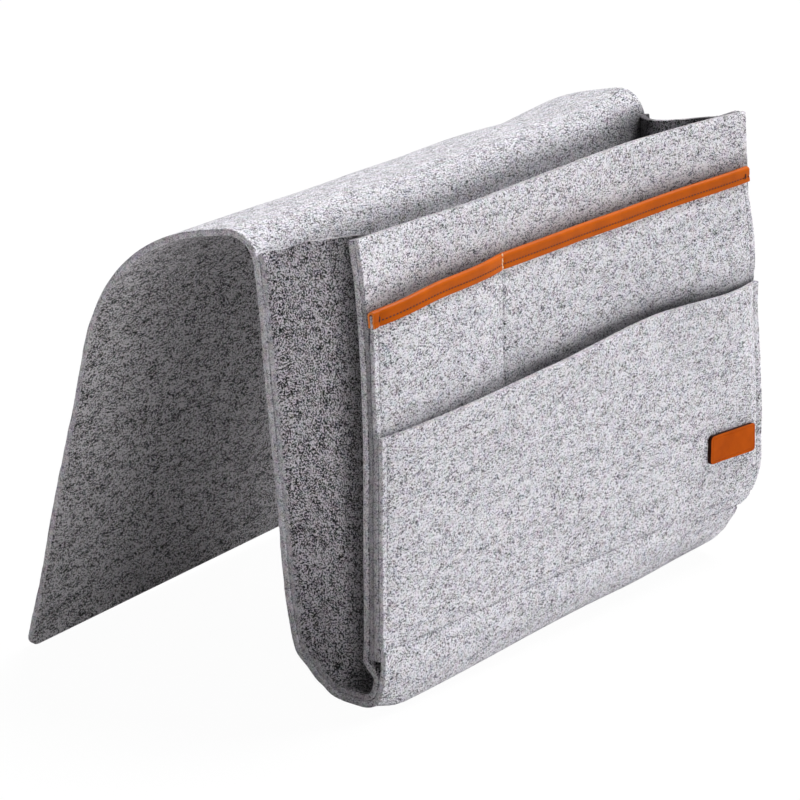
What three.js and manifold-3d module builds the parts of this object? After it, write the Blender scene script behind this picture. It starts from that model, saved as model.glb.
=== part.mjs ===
// Bedside caddy of thick grey felt. One long strip is folded into the lower front pocket, the bottom, the
// back wall, a crest and a flap that is tucked under a mattress. The front wall and the upper pocket, whose
// mouth is bound with leather, are sewn inside the strip's front end, and two gussets close the ends of the
// main pocket.
// Millimetres, +Z up, X across the width. The front faces -Y, and the flap hangs on the +Y side.
import * as THREE from 'three';
import { mergeVertices } from 'three/addons/utils/BufferGeometryUtils.js';
import Module from 'manifold-3d';

const wasm = await Module();
wasm.setup();

// Materials' thicknesses, and the gaps that sewn and folded layers keep
const felt = 3.3;
const leather = 1.2;
const threadWidth = 0.9;
const threadHeight = 0.5;
const plyGap = 0.3;
const spanGap = 0.3;
const threadGap = 0.15;

// Folded strip: lower pocket, bottom, back wall, crest and flap
const width = 320;
const bendRadius = 27;
const floorFlat = 4;
const backLean = 4.4;
const crestHeight = 229.5;
const crestRadius = 14;
const crestRun = 20;
const crestFall = 7;
const flapBendRadius = 75;
const flapSplay = 18;
const flapCorner = 8;

// Side gussets: a recessed web with a flange that is sewn to the strip and to the front wall
const flangeWidth = 12;
const gussetRise = 2;
const backSeamDrop = 12;

// Front wall and the pockets on it, and how far the pockets' mouths stand open
const frontHeight = 230.5;
const lowerPocketTop = 142;
const lowerBow = 6;
const upperBow = 6;
const dividerFromLeft = 105;
const cornerHeight = 16;
const baseSeamRise = 6;
const seamInset = 4;

// Leather binding on the upper pocket's mouth, and the leather label
const bindingDrop = 27.5;
const bindingHeight = 9;
const bindingSeamInset = 3;
const bindingRamp = 30;
const labelWidth = 36;
const labelHeight = 15;
const labelThickness = 1.6;
const labelCorner = 2;
const labelFromRight = 11;
const labelAboveSeam = 24;

// Fineness of the facets
const bendSteps = 12;
const flapBendSteps = 14;
const cornerSteps = 5;
const foldSteps = 8;
const acrossSteps = 14;
const upSteps = 10;
const threadSteps = 6;

// Values that follow from the sizes above. The front wall's face is at y = 0.
const halfWidth = width / 2;
const lean = THREE.MathUtils.degToRad(backLean);
const downward = -Math.PI / 2;
const backHeading = Math.PI / 2 - lean;
const crestHeading = -THREE.MathUtils.degToRad(crestFall);
const flapHeading = THREE.MathUtils.degToRad(flapSplay) - Math.PI / 2;
const stripFront = -2 * (felt + plyGap);
const frontBendCentre = new THREE.Vector2(stripFront + bendRadius, bendRadius);
const backBendCentre = new THREE.Vector2(frontBendCentre.x + floorFlat, bendRadius);
const panelBottom = bendRadius + spanGap;
const baseSeamZ = bendRadius + baseSeamRise;
const notch = flangeWidth - felt;
const dividerX = dividerFromLeft - halfWidth;
const seamX = halfWidth - seamInset;
const foldRadius = felt / 2 + plyGap;
const bindingTop = frontHeight - bindingDrop;
const upperPocketTop = bindingTop - foldRadius - leather;
const bindingBottom = bindingTop - bindingHeight;
const cutMargin = felt;
const seamSink = threadHeight + 2 * threadGap;

const feltMaterial = new THREE.MeshStandardMaterial({ color: 0x9c9aa0, roughness: 0.95, metalness: 0 });
const leatherMaterial = new THREE.MeshStandardMaterial({ color: 0xc25a14, roughness: 0.5, metalness: 0 });
const greyThread = new THREE.MeshStandardMaterial({ color: 0x77757b, roughness: 0.8, metalness: 0 });
const creamThread = new THREE.MeshStandardMaterial({ color: 0xf2d9b8, roughness: 0.8, metalness: 0 });
const brownThread = new THREE.MeshStandardMaterial({ color: 0x6b2a10, roughness: 0.8, metalness: 0 });

// Plane geometry: points (y, z) of the side view, and headings measured from +Y towards +Z

function ahead(heading, distance = 1) {
  return new THREE.Vector2(Math.cos(heading), Math.sin(heading)).multiplyScalar(distance);
}

function leftOf(heading, distance = 1) {
  return new THREE.Vector2(-Math.sin(heading), Math.cos(heading)).multiplyScalar(distance);
}

/** Points on an arc, by the headings it turns from and to; a negative radius lies right of the travel. */
function turn(centre, radius, from, to, steps) {
  const points = [];
  for (let step = 0; step <= steps; step += 1) {
    const heading = THREE.MathUtils.lerp(from, to, step / steps);
    points.push(centre.clone().add(leftOf(heading, radius)));
  }
  return points;
}

/** The line moved sideways to the right of its direction of travel, with mitred corners. */
function alongside(points, distance) {
  return points.map((point, i) => {
    const before = points[Math.max(i - 1, 0)];
    const after = points[Math.min(i + 1, points.length - 1)];
    const normals = [[before, point], [point, after]]
      .filter(([a, b]) => a !== b)
      .map(([a, b]) => leftOf(b.clone().sub(a).angle(), -1));
    const first = normals[0];
    const last = normals[normals.length - 1];
    const mitre = first.clone().add(last).divideScalar(1 + first.dot(last));
    return point.clone().addScaledVector(mitre, distance);
  });
}

// Solids

const axisX = new THREE.Vector3(1, 0, 0);
const axisY = new THREE.Vector3(0, 1, 0);
const axisZ = new THREE.Vector3(0, 0, 1);

/** Outline extruded by depth, with its own x, y and depth laid along three world directions. */
function extruded(outline, depth, along, up, out) {
  const shape = outline instanceof THREE.Shape ? outline : new THREE.Shape(outline);
  const geometry = new THREE.ExtrudeGeometry(shape, { depth, bevelEnabled: false, curveSegments: cornerSteps });
  return geometry.applyMatrix4(new THREE.Matrix4().makeBasis(along, up, out));
}

/** Side view outline (y, z) extruded across the width from one x to another. */
function acrossWidth(outline, fromX, toX) {
  return extruded(outline, toX - fromX, axisY, axisZ, axisX).translate(fromX, 0, 0);
}

/** Closed sheet between two grids of points, with rows upward and columns along +X. */
function closedSheet(outer, inner) {
  const rows = outer.length;
  const columns = outer[0].length;
  const front = (row, column) => row * columns + column;
  const back = (row, column) => (rows + row) * columns + column;
  const index = [];
  const quad = (a, b, c, d) => index.push(a, b, c, a, c, d);
  for (let r = 0; r < rows - 1; r += 1) {
    for (let c = 0; c < columns - 1; c += 1) {
      quad(front(r, c), front(r, c + 1), front(r + 1, c + 1), front(r + 1, c));
      quad(back(r, c), back(r + 1, c), back(r + 1, c + 1), back(r, c + 1));
    }
    const end = columns - 1;
    quad(front(r, 0), front(r + 1, 0), back(r + 1, 0), back(r, 0));
    quad(front(r, end), back(r, end), back(r + 1, end), front(r + 1, end));
  }
  for (let c = 0; c < columns - 1; c += 1) {
    const top = rows - 1;
    quad(front(0, c), back(0, c), back(0, c + 1), front(0, c + 1));
    quad(front(top, c), front(top, c + 1), back(top, c + 1), back(top, c));
  }
  return indexed([...outer.flat(), ...inner.flat()], index);
}

/** Closed bar through equal sections, each an anticlockwise loop of (y, z) at its own x. */
function sweptBar(stations, sectionAt) {
  const sections = stations.map((x) => sectionAt(x));
  const count = sections[0].length;
  const points = sections.flatMap((section, s) => section.map((p) => new THREE.Vector3(stations[s], p.x, p.y)));
  const index = [];
  for (let s = 0; s < stations.length - 1; s += 1) {
    for (let k = 0; k < count; k += 1) {
      const a = s * count + k;
      const b = s * count + ((k + 1) % count);
      index.push(a, b, b + count, a, b + count, a + count);
    }
  }
  const last = (stations.length - 1) * count;
  for (const [a, b, c] of THREE.ShapeUtils.triangulateShape(sections[0], [])) {
    index.push(a, c, b);
  }
  for (const [a, b, c] of THREE.ShapeUtils.triangulateShape(sections[stations.length - 1], [])) {
    index.push(last + a, last + b, last + c);
  }
  return indexed(points, index);
}

function indexed(points, index) {
  const geometry = new THREE.BufferGeometry().setFromPoints(points);
  geometry.setIndex(index);
  geometry.computeVertexNormals();
  return geometry;
}

function toSolid(geometry) {
  const bare = geometry.clone();
  bare.deleteAttribute('normal');
  bare.deleteAttribute('uv');
  const merged = mergeVertices(bare);
  const vertProperties = new Float32Array(merged.getAttribute('position').array);
  const triVerts = new Uint32Array(merged.getIndex().array);
  return new wasm.Manifold(new wasm.Mesh({ numProp: 3, vertProperties, triVerts }));
}

function difference(geometry, cut) {
  const { vertProperties, triVerts } = toSolid(geometry).subtract(toSolid(cut)).getMesh();
  const result = new THREE.BufferGeometry();
  result.setAttribute('position', new THREE.BufferAttribute(vertProperties, 3));
  result.setIndex(new THREE.BufferAttribute(triVerts, 1));
  result.computeVertexNormals();
  return result;
}

const caddy = new THREE.Group();

function addPiece(name, geometry, material) {
  const mesh = new THREE.Mesh(geometry, material);
  mesh.name = name;
  caddy.add(mesh);
}

// The folded strip, one stretch after another. Its right side is the outside of the pocket and the
// underside of the crest.

/** Stretch of the strip across the full width, between its right and left side lines. */
function addStretch(name, right, left) {
  addPiece(name, acrossWidth([...right, ...left.slice().reverse()], -halfWidth, halfWidth), feltMaterial);
}

/** Where the back wall's line starts, at a depth inside the pocket from its outside. */
function backStart(depth) {
  return backBendCentre.clone().add(leftOf(backHeading, depth - bendRadius));
}

/** Point of the back wall's line at a height. */
function backAt(depth, z) {
  const start = backStart(depth);
  return new THREE.Vector2(start.x + (z - start.y) * Math.tan(lean), z);
}

const crestCentreZ = crestHeight - crestRadius;
const crestInner = crestRadius - felt;
const crestFoot = backAt(0, crestCentreZ + crestInner * Math.sin(lean));
const crestCentre = crestFoot.clone().add(leftOf(backHeading, -crestInner));
const runStart = crestCentre.clone().add(leftOf(crestHeading, crestRadius));
const flapBendStart = runStart.clone().add(ahead(crestHeading, crestRun));
const flapBendCentre = flapBendStart.clone().add(leftOf(crestHeading, -flapBendRadius));
const flapStart = flapBendCentre.clone().add(leftOf(flapHeading, flapBendRadius - felt));
const flapLength = flapStart.y / -Math.sin(flapHeading);

/** Rows of the front bend at a radius, from the floor up to the pockets, with ends that draw in. */
function frontBendRows(radius) {
  return turn(frontBendCentre, -radius, 0, downward, bendSteps).map((point, step) => {
    const reach = halfWidth - notch * (step / bendSteps);
    return [-reach, reach].map((x) => new THREE.Vector3(x, point.x, point.y));
  });
}

addPiece('front_bend', closedSheet(frontBendRows(bendRadius), frontBendRows(bendRadius - felt)), feltMaterial);

const floorStart = frontBendCentre.x + spanGap;
addStretch(
  'bottom_panel',
  [new THREE.Vector2(floorStart, 0), ...turn(backBendCentre, -bendRadius, 0, backHeading, bendSteps)],
  [new THREE.Vector2(floorStart, felt), ...turn(backBendCentre, felt - bendRadius, 0, backHeading, bendSteps)],
);

/** Line of the back seams at a depth from the back wall's face, longer by a margin at both ends. */
function backSeamLine(depth, margin = 0) {
  return [
    backStart(depth).add(ahead(backHeading, spanGap + seamInset - margin)),
    backAt(depth, crestFoot.y - backSeamDrop).add(ahead(backHeading, margin)),
  ];
}

const backFoot = ahead(backHeading, spanGap);
const backHead = ahead(backHeading, -spanGap);
const backOutline = [
  backStart(0).add(backFoot),
  crestFoot.clone().add(backHead),
  crestFoot.clone().add(leftOf(backHeading, felt)).add(backHead),
  backStart(felt).add(backFoot),
];
const grooveOutline = [...backSeamLine(-cutMargin, threadGap), ...backSeamLine(seamSink, threadGap).reverse()];
const grooveReach = threadWidth / 2 + threadGap;
const backPanel = [-seamX, seamX].reduce(
  (panel, x) => difference(panel, acrossWidth(grooveOutline, x - grooveReach, x + grooveReach)),
  acrossWidth(backOutline, -halfWidth, halfWidth),
);
addPiece('back_panel', backPanel, feltMaterial);

const runReach = ahead(crestHeading, crestRun - spanGap);
const crestTop = turn(crestCentre, crestRadius, backHeading, crestHeading, bendSteps);
const crestUnder = turn(crestCentre, crestInner, backHeading, crestHeading, bendSteps);
addStretch(
  'crest',
  [...crestUnder, crestUnder[bendSteps].clone().add(runReach)],
  [...crestTop, crestTop[bendSteps].clone().add(runReach)],
);

addStretch(
  'flap_bend',
  turn(flapBendCentre, flapBendRadius - felt, crestHeading, flapHeading, flapBendSteps),
  turn(flapBendCentre, flapBendRadius, crestHeading, flapHeading, flapBendSteps),
);

/** Flap outline in its own plane: x across, y up from the rounded lower edge to the bend. */
function flapOutline() {
  const reach = halfWidth - flapCorner;
  const shape = new THREE.Shape();
  shape.moveTo(-halfWidth, flapLength - spanGap);
  shape.lineTo(-halfWidth, flapCorner);
  shape.absarc(-reach, flapCorner, flapCorner, Math.PI, 1.5 * Math.PI);
  shape.lineTo(reach, 0);
  shape.absarc(reach, flapCorner, flapCorner, 1.5 * Math.PI, 2 * Math.PI);
  shape.lineTo(halfWidth, flapLength - spanGap);
  return shape;
}

const flapUp = ahead(flapHeading, -1);
const flapFoot = flapStart.clone().add(ahead(flapHeading, flapLength));
const flapUpward = new THREE.Vector3(0, flapUp.x, flapUp.y);
const flapInward = new THREE.Vector3().crossVectors(axisX, flapUpward);
const flapOutward = leftOf(flapHeading, felt);
addPiece(
  'flap',
  extruded(flapOutline(), felt, axisX, flapUpward, flapInward)
    .translate(0, flapFoot.x + flapOutward.x, flapFoot.y + flapOutward.y),
  feltMaterial,
);

// Gussets

/** Outline of the main pocket's end, so deep behind the front wall's face and inside the strip's outside. */
function endOutline(depth, frontTop, backTop) {
  const radius = depth - bendRadius;
  const corner = Math.asin((frontBendCentre.x - depth) / radius);
  return [
    new THREE.Vector2(depth, frontTop),
    ...turn(frontBendCentre, radius, corner, 0, bendSteps),
    ...turn(backBendCentre, radius, 0, backHeading, bendSteps),
    backAt(depth, backTop),
  ];
}

/**
 * Gusset at one end, -1 for the left and 1 for the right: a tray that is open outward and upward. Its flange is
 * clipped where the strip bends up to the front, so that the bend can close on the web.
 */
function addGusset(name, side) {
  const web = side * (halfWidth - flangeWidth);
  const ends = [web, side * halfWidth].sort((a, b) => a - b);
  const cutEnds = [web + side * felt, side * (halfWidth + cutMargin)].sort((a, b) => a - b);
  const flangeDepth = felt + plyGap;
  const openTop = frontHeight + cutMargin;
  const block = acrossWidth(endOutline(flangeDepth, frontHeight, crestFoot.y + gussetRise), ...ends);
  const recess = acrossWidth(endOutline(flangeDepth + felt, openTop, openTop), ...cutEnds);
  const clip = acrossWidth(
    [
      new THREE.Vector2(stripFront, -cutMargin),
      new THREE.Vector2(frontBendCentre.x, -cutMargin),
      new THREE.Vector2(frontBendCentre.x, bendRadius),
      new THREE.Vector2(stripFront, bendRadius),
    ],
    ...cutEnds,
  );
  addPiece(name, difference(difference(block, recess), clip), feltMaterial);
}

addGusset('gusset_left', -1);
addGusset('gusset_right', 1);

// Front wall, and the pockets on it. A pocket is described by the y of its inner face.

/** Half of the lower edge of a front panel: an oval corner that draws in to the strip's bend. */
function cornerRows() {
  return Array.from({ length: cornerSteps }, (_, step) => {
    const angle = (step / cornerSteps) * (Math.PI / 2);
    return {
      z: panelBottom + cornerHeight * (1 - Math.cos(angle)),
      reach: halfWidth - notch * (1 - Math.sin(angle)),
    };
  });
}

const frontEdge = [...cornerRows(), { z: panelBottom + cornerHeight, reach: halfWidth }];
const frontOutline = [
  ...frontEdge.map(({ z, reach }) => new THREE.Vector2(reach, z)),
  new THREE.Vector2(halfWidth, frontHeight),
  new THREE.Vector2(-halfWidth, frontHeight),
  ...frontEdge.map(({ z, reach }) => new THREE.Vector2(-reach, z)).reverse(),
];
addPiece(
  'front_panel',
  extruded(frontOutline, felt, axisX, axisZ, axisY.clone().negate()).translate(0, felt, 0),
  feltMaterial,
);

/** Bulge between two seams: 1 halfway and 0 at the seams and beyond them. */
function bulge(x, from, to, power) {
  const u = THREE.MathUtils.clamp((2 * x - from - to) / (to - from), -1, 1);
  return 1 - Math.abs(u) ** power;
}

/** How far the binding's inner leg lifts the upper pocket off the front wall. */
function bindingLift(z) {
  const bound = leather + plyGap;
  return bound * THREE.MathUtils.smoothstep(z, bindingBottom - bindingRamp, bindingBottom);
}

/** How far a pocket's middle stands open at a height, growing evenly from the base seam to its mouth. */
function opening(bow, z, top) {
  return bow * Math.max(0, (z - baseSeamZ) / (top - baseSeamZ));
}

function upperInner(x, z) {
  const share = bulge(x, -seamX, dividerX, 3) + bulge(x, dividerX, seamX, 3);
  return -plyGap - bindingLift(z) - opening(upperBow, z, upperPocketTop) * share;
}

function upperOuter(x, z) {
  return upperInner(x, z) - felt;
}

/** The lower pocket lies over the upper one and spans its two bulges in one. */
function lowerInner(x, z) {
  const over = opening(upperBow, z, upperPocketTop) * bulge(x, -seamX, seamX, 12);
  const own = opening(lowerBow, z, lowerPocketTop) * bulge(x, -seamX, seamX, 3);
  return stripFront + felt - bindingLift(z) - over - own;
}

function lowerOuter(x, z) {
  return lowerInner(x, z) - felt;
}

function bindingOuter(x, z) {
  return upperOuter(x, z) - plyGap - leather;
}

function evenly(from, to, steps) {
  return Array.from({ length: steps + 1 }, (_, i) => THREE.MathUtils.lerp(from, to, i / steps));
}

/** Places across the width where the sheets are bent, with one on each seam. */
const stations = [
  -halfWidth,
  ...evenly(-seamX, dividerX, acrossSteps),
  ...evenly(dividerX, seamX, 2 * acrossSteps).slice(1),
  halfWidth,
];

/** Pocket panel with oval lower corners, from the strip's bend up to its mouth. */
function addPocket(name, top, innerY) {
  const straight = evenly(panelBottom + cornerHeight, top, upSteps).map((z) => ({ z, reach: halfWidth }));
  const grid = (offset) => [...cornerRows(), ...straight].map(({ z, reach }) => stations.map((station) => {
    const x = station * (reach / halfWidth);
    return new THREE.Vector3(x, innerY(x, z) - offset, z);
  }));
  addPiece(name, closedSheet(grid(felt), grid(0)), feltMaterial);
}

addPocket('upper_pocket', upperPocketTop, upperInner);
addPocket('lower_pocket', lowerPocketTop, lowerInner);

// Leather

/** Section of the binding at x: an inner leg, a round fold over the felt's edge and an outer leg. */
function bindingSection(x) {
  const fold = (radius) => {
    const centre = new THREE.Vector2(upperInner(x, upperPocketTop) - felt / 2, upperPocketTop);
    const foot = upperInner(x, bindingBottom) - felt / 2;
    const arc = turn(centre, radius, downward, Math.PI / 2, foldSteps);
    return [
      new THREE.Vector2(foot + radius, bindingBottom),
      ...arc,
      new THREE.Vector2(foot - radius, bindingBottom),
    ];
  };
  return [...fold(foldRadius + leather), ...fold(foldRadius).reverse()];
}

addPiece('leather_binding', sweptBar(stations, bindingSection), leatherMaterial);

function roundedBox(wide, high, radius) {
  const shape = new THREE.Shape();
  shape.moveTo(radius, 0);
  shape.lineTo(wide - radius, 0);
  shape.absarc(wide - radius, radius, radius, -Math.PI / 2, 0);
  shape.lineTo(wide, high - radius);
  shape.absarc(wide - radius, high - radius, radius, 0, Math.PI / 2);
  shape.lineTo(radius, high);
  shape.absarc(radius, high - radius, radius, Math.PI / 2, Math.PI);
  shape.lineTo(0, radius);
  shape.absarc(radius, radius, radius, Math.PI, 1.5 * Math.PI);
  return shape;
}

const labelLeft = halfWidth - labelFromRight - labelWidth;
const labelBottom = baseSeamZ + labelAboveSeam;
const labelSeat = Math.min(
  ...[labelLeft, labelLeft + labelWidth].flatMap((x) => (
    [labelBottom, labelBottom + labelHeight].map((z) => lowerOuter(x, z))
  )),
) - plyGap;
addPiece(
  'leather_label',
  extruded(roundedBox(labelWidth, labelHeight, labelCorner), labelThickness, axisX, axisZ, axisY.clone().negate())
    .translate(labelLeft, labelSeat, labelBottom),
  leatherMaterial,
);

// Thread, one bar for each seam, lying on the face that it is sewn through

/** Bar that lies beside a line, on the right of its travel. */
function threadOutline(line) {
  return [...alongside(line, threadGap + threadHeight), ...alongside(line, threadGap).reverse()];
}

function addUprightSeam(name, x, line, material) {
  const bar = acrossWidth(threadOutline(line), x - threadWidth / 2, x + threadWidth / 2);
  addPiece(name, bar, material);
}

/** Level seam along places across the width, on a face given by its y at each x. */
function addLevelSeam(name, z, places, faceY, material) {
  const line = places.map((x) => new THREE.Vector2(x, faceY(x)));
  const bar = extruded(threadOutline(line), threadWidth, axisX, axisY, axisZ);
  addPiece(name, bar.translate(0, 0, z - threadWidth / 2), material);
}

/** Two ends of a stretch, and the stations between them. */
function between(from, to) {
  return [from, ...stations.filter((x) => x > from && x < to), to];
}

/** Line down a face at x. */
function down(x, faceY, top, bottom) {
  return evenly(top, bottom, threadSteps).map((z) => new THREE.Vector2(faceY(x, z), z));
}

function boundLine(x, bottom) {
  return [...down(x, bindingOuter, upperPocketTop, bindingBottom), ...down(x, upperOuter, bindingBottom, bottom)];
}

const bindingSeamZ = bindingBottom + bindingSeamInset;
const onBinding = (x) => bindingOuter(x, bindingSeamZ);
const bindingLeft = between(threadWidth - seamX, dividerX - threadWidth);
const bindingRight = between(dividerX + threadWidth, seamX - threadWidth);
addLevelSeam('binding_seam_left', bindingSeamZ, bindingLeft, onBinding, brownThread);
addLevelSeam('binding_seam_right', bindingSeamZ, bindingRight, onBinding, brownThread);

const baseSeamEnd = halfWidth - notch;
const baseSeamY = Math.min(...stations.map((x) => lowerOuter(x, baseSeamZ)));
addLevelSeam('pocket_base_seam', baseSeamZ, [-baseSeamEnd, baseSeamEnd], () => baseSeamY, greyThread);

const threadRoom = threadGap + threadHeight + plyGap;
addUprightSeam('divider_seam', dividerX, boundLine(dividerX, lowerPocketTop + threadRoom), creamThread);

for (const [word, side] of [['left', -1], ['right', 1]]) {
  const x = side * seamX;
  const line = [
    ...boundLine(x, lowerPocketTop),
    ...down(x, lowerOuter, lowerPocketTop, panelBottom + cornerHeight),
  ];
  addUprightSeam(`side_seam_${word}`, x, line, creamThread);
  addUprightSeam(`back_seam_${word}`, x, backSeamLine(seamSink), greyThread);
}

// The origin is under the middle of the caddy, on the surface that it stands on
caddy.updateMatrixWorld(true);
const middle = new THREE.Box3().setFromObject(caddy).getCenter(new THREE.Vector3());
caddy.position.y = -middle.y;

export default caddy;
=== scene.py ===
"""Looks of the felt bedside caddy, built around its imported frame.

Lengths are in millimetres until a mesh is written. Meshes, cameras and node scales are in metres.
"""

import logging
import math
from collections.abc import Iterator
from contextlib import contextmanager
from dataclasses import dataclass
from enum import Enum

import bpy
import numpy as np
from mathutils import Matrix, Vector


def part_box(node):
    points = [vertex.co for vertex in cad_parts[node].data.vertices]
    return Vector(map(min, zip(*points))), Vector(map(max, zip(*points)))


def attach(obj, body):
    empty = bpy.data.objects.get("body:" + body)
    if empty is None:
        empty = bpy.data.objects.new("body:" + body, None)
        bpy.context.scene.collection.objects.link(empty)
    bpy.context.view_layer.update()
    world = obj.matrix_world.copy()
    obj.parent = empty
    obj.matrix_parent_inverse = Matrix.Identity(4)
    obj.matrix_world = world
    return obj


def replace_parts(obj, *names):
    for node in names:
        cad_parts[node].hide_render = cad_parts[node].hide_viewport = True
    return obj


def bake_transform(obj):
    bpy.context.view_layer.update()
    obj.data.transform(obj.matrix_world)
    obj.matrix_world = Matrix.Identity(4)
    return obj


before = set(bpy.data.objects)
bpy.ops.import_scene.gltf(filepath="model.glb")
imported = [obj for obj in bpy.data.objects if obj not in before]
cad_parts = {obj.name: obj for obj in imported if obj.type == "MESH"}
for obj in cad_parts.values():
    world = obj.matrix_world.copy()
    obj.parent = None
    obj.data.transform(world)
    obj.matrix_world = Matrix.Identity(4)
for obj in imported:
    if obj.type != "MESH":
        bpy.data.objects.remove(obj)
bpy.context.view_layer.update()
METRES = 0.001
LOG = logging.getLogger("caddy")
FORWARD = (0.0, -1.0, 0.0)
UPWARD = (0.0, 0.0, 1.0)
# Flat stretch of the bottom between its two bends.
BOTTOM_FLAT = 4.0
# Rows of points close together at a sheet's side edges, and on both sides of a seam.
EDGE_STEPS = (0, 1.1, 2.4, 3.1, 3.6, 4.0, 4.4, 4.9, 5.8, 7.5, 10.0)
SEAM_STEPS = (-2.8, -1.5, -0.8, -0.4, 0, 0.4, 0.8, 1.5, 2.8)
# Rows of points above the front layers' lower edges, on the lower pocket and on the layers behind it.
BASE_ROWS = (0, 0.4, 1.1, 2.2, 3.6, 4.6, 5.2, 5.7, 6.2, 6.8, 8, 9.8, 12, 14, 16)
WALL_ROWS = (0, 0.4, 1.1, 2.2, 3.6, 5.7, 8, 12, 16)

Array = np.ndarray
Pair = tuple[float, float]
Knots = tuple[Pair, ...]
Piece = bpy.types.Object
Material = bpy.types.Material
Socket = bpy.types.NodeSocket
Colour = Socket | tuple


class Side(Enum):
    """The two ends of the caddy, as the sign of x."""

    LEFT = -1
    RIGHT = 1

    @property
    def word(self) -> str:
        """The end's name in the names of pieces and nodes."""
        return self.name.lower()


class Thread(Enum):
    """The sewing threads; each value names the thread, and a row's materials follow the order of these
    values.
    """

    GREY = "grey_thread"
    CREAM = "cream_thread"
    BROWN = "brown_thread"


def span(node: str) -> tuple[Array, Array]:
    """A CAD node's lowest and highest corner, in millimetres."""
    low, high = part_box(node)
    return np.array(low) / METRES, np.array(high) / METRES


def ease(value: Array, start: float, end: float) -> Array:
    """Rises smoothly from 0 at start to 1 at end."""
    t = np.clip((np.asarray(value, float) - start) / (end - start), 0, 1)
    return t * t * (3 - 2 * t)


def ridge(value: Array, centre: float, width: float) -> Array:
    """A smooth bump of height 1 around centre."""
    return np.exp(-(((np.asarray(value, float) - centre) / width) ** 2))


def through(value: Array, knots: Knots) -> Array:
    """Follows a soft line through knots.

    Args:
        value: Where the line is read.
        knots: Pairs of place and height, in rising order of place.

    Returns:
        The line's height at each value.
    """
    places, heights = np.array(knots, float).T
    fine = np.linspace(places[0], places[-1], 401)
    line = np.interp(fine, places, heights)
    reach = max(3, int(40 * 4 / len(knots))) | 1
    padded = np.pad(line, reach // 2, mode="reflect", reflect_type="odd")
    soft = np.convolve(padded, np.ones(reach) / reach, mode="valid")
    return np.interp(value, fine, soft)


def joined(x: Array, y: Array, z: Array) -> Array:
    """Points with those coordinates along the last axis."""
    return np.stack([x, y, z], axis=-1)


def bulge(x: Array, start: float, end: float, power: float) -> Array:
    """How far a pocket stands out between two seams, from 0 at each to 1 in the middle."""
    middle, half = (start + end) / 2, (end - start) / 2
    return np.clip(1 - np.abs((np.asarray(x, float) - middle) / half) ** power, 0, 1)


@dataclass(frozen=True)
class Ripple:
    """The slight unevenness of sewn felt: a few seeded waves added together.

    Fields: seed of the waves, their height, their shortest and longest length, and their number.
    """

    seed: int
    height: float
    shortest: float
    longest: float
    waves: int = 6

    def at(self, u: Array, v: Array) -> Array:
        """The ripple's height at each place, given by two coordinates on the felt."""
        dice = np.random.default_rng(self.seed)
        u, v = np.asarray(u, float), np.asarray(v, float)
        total = 0.0 * (u + v)
        for _ in range(self.waves):
            length, angle, phase = dice.uniform([self.shortest, 0, 0], [self.longest, math.tau, math.tau])
            along = u * math.cos(angle) + v * math.sin(angle)
            total = total + np.sin(math.tau * along / length + phase)
        return self.height * total / math.sqrt(self.waves)


@dataclass(frozen=True)
class EndPull:
    """How the sewing draws one end of a bend in towards the bend's middle.

    Fields: y and z of the bend's middle; which end; how far from the caddy's middle the pull starts; its
    depth by the angle from straight down, in degrees, above 0 towards the back; and the radii between
    which it sets in, and fades out.
    """

    y: float
    z: float
    side: Side
    start: float
    depth: Knots
    sets_in: tuple[float, float] = (6, 20)
    fades: tuple[float, float] = (32, 62)

    def moved(self, places: Array, half: float) -> Array:
        """The points after the pull, which is full at half the caddy's width."""
        back, down = places[..., 1] - self.y, self.z - places[..., 2]
        radius = np.hypot(back, down)
        share = ease(self.side.value * places[..., 0], self.start, half)
        share = share * ease(radius, *self.sets_in) * (1 - ease(radius, *self.fades))
        depth = through(np.degrees(np.arctan2(back, down)), ((-180, 0), *self.depth, (180, 0)))
        depth = depth * share / np.maximum(radius, 1)
        return places + joined(0 * depth, -back * depth, down * depth)


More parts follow.
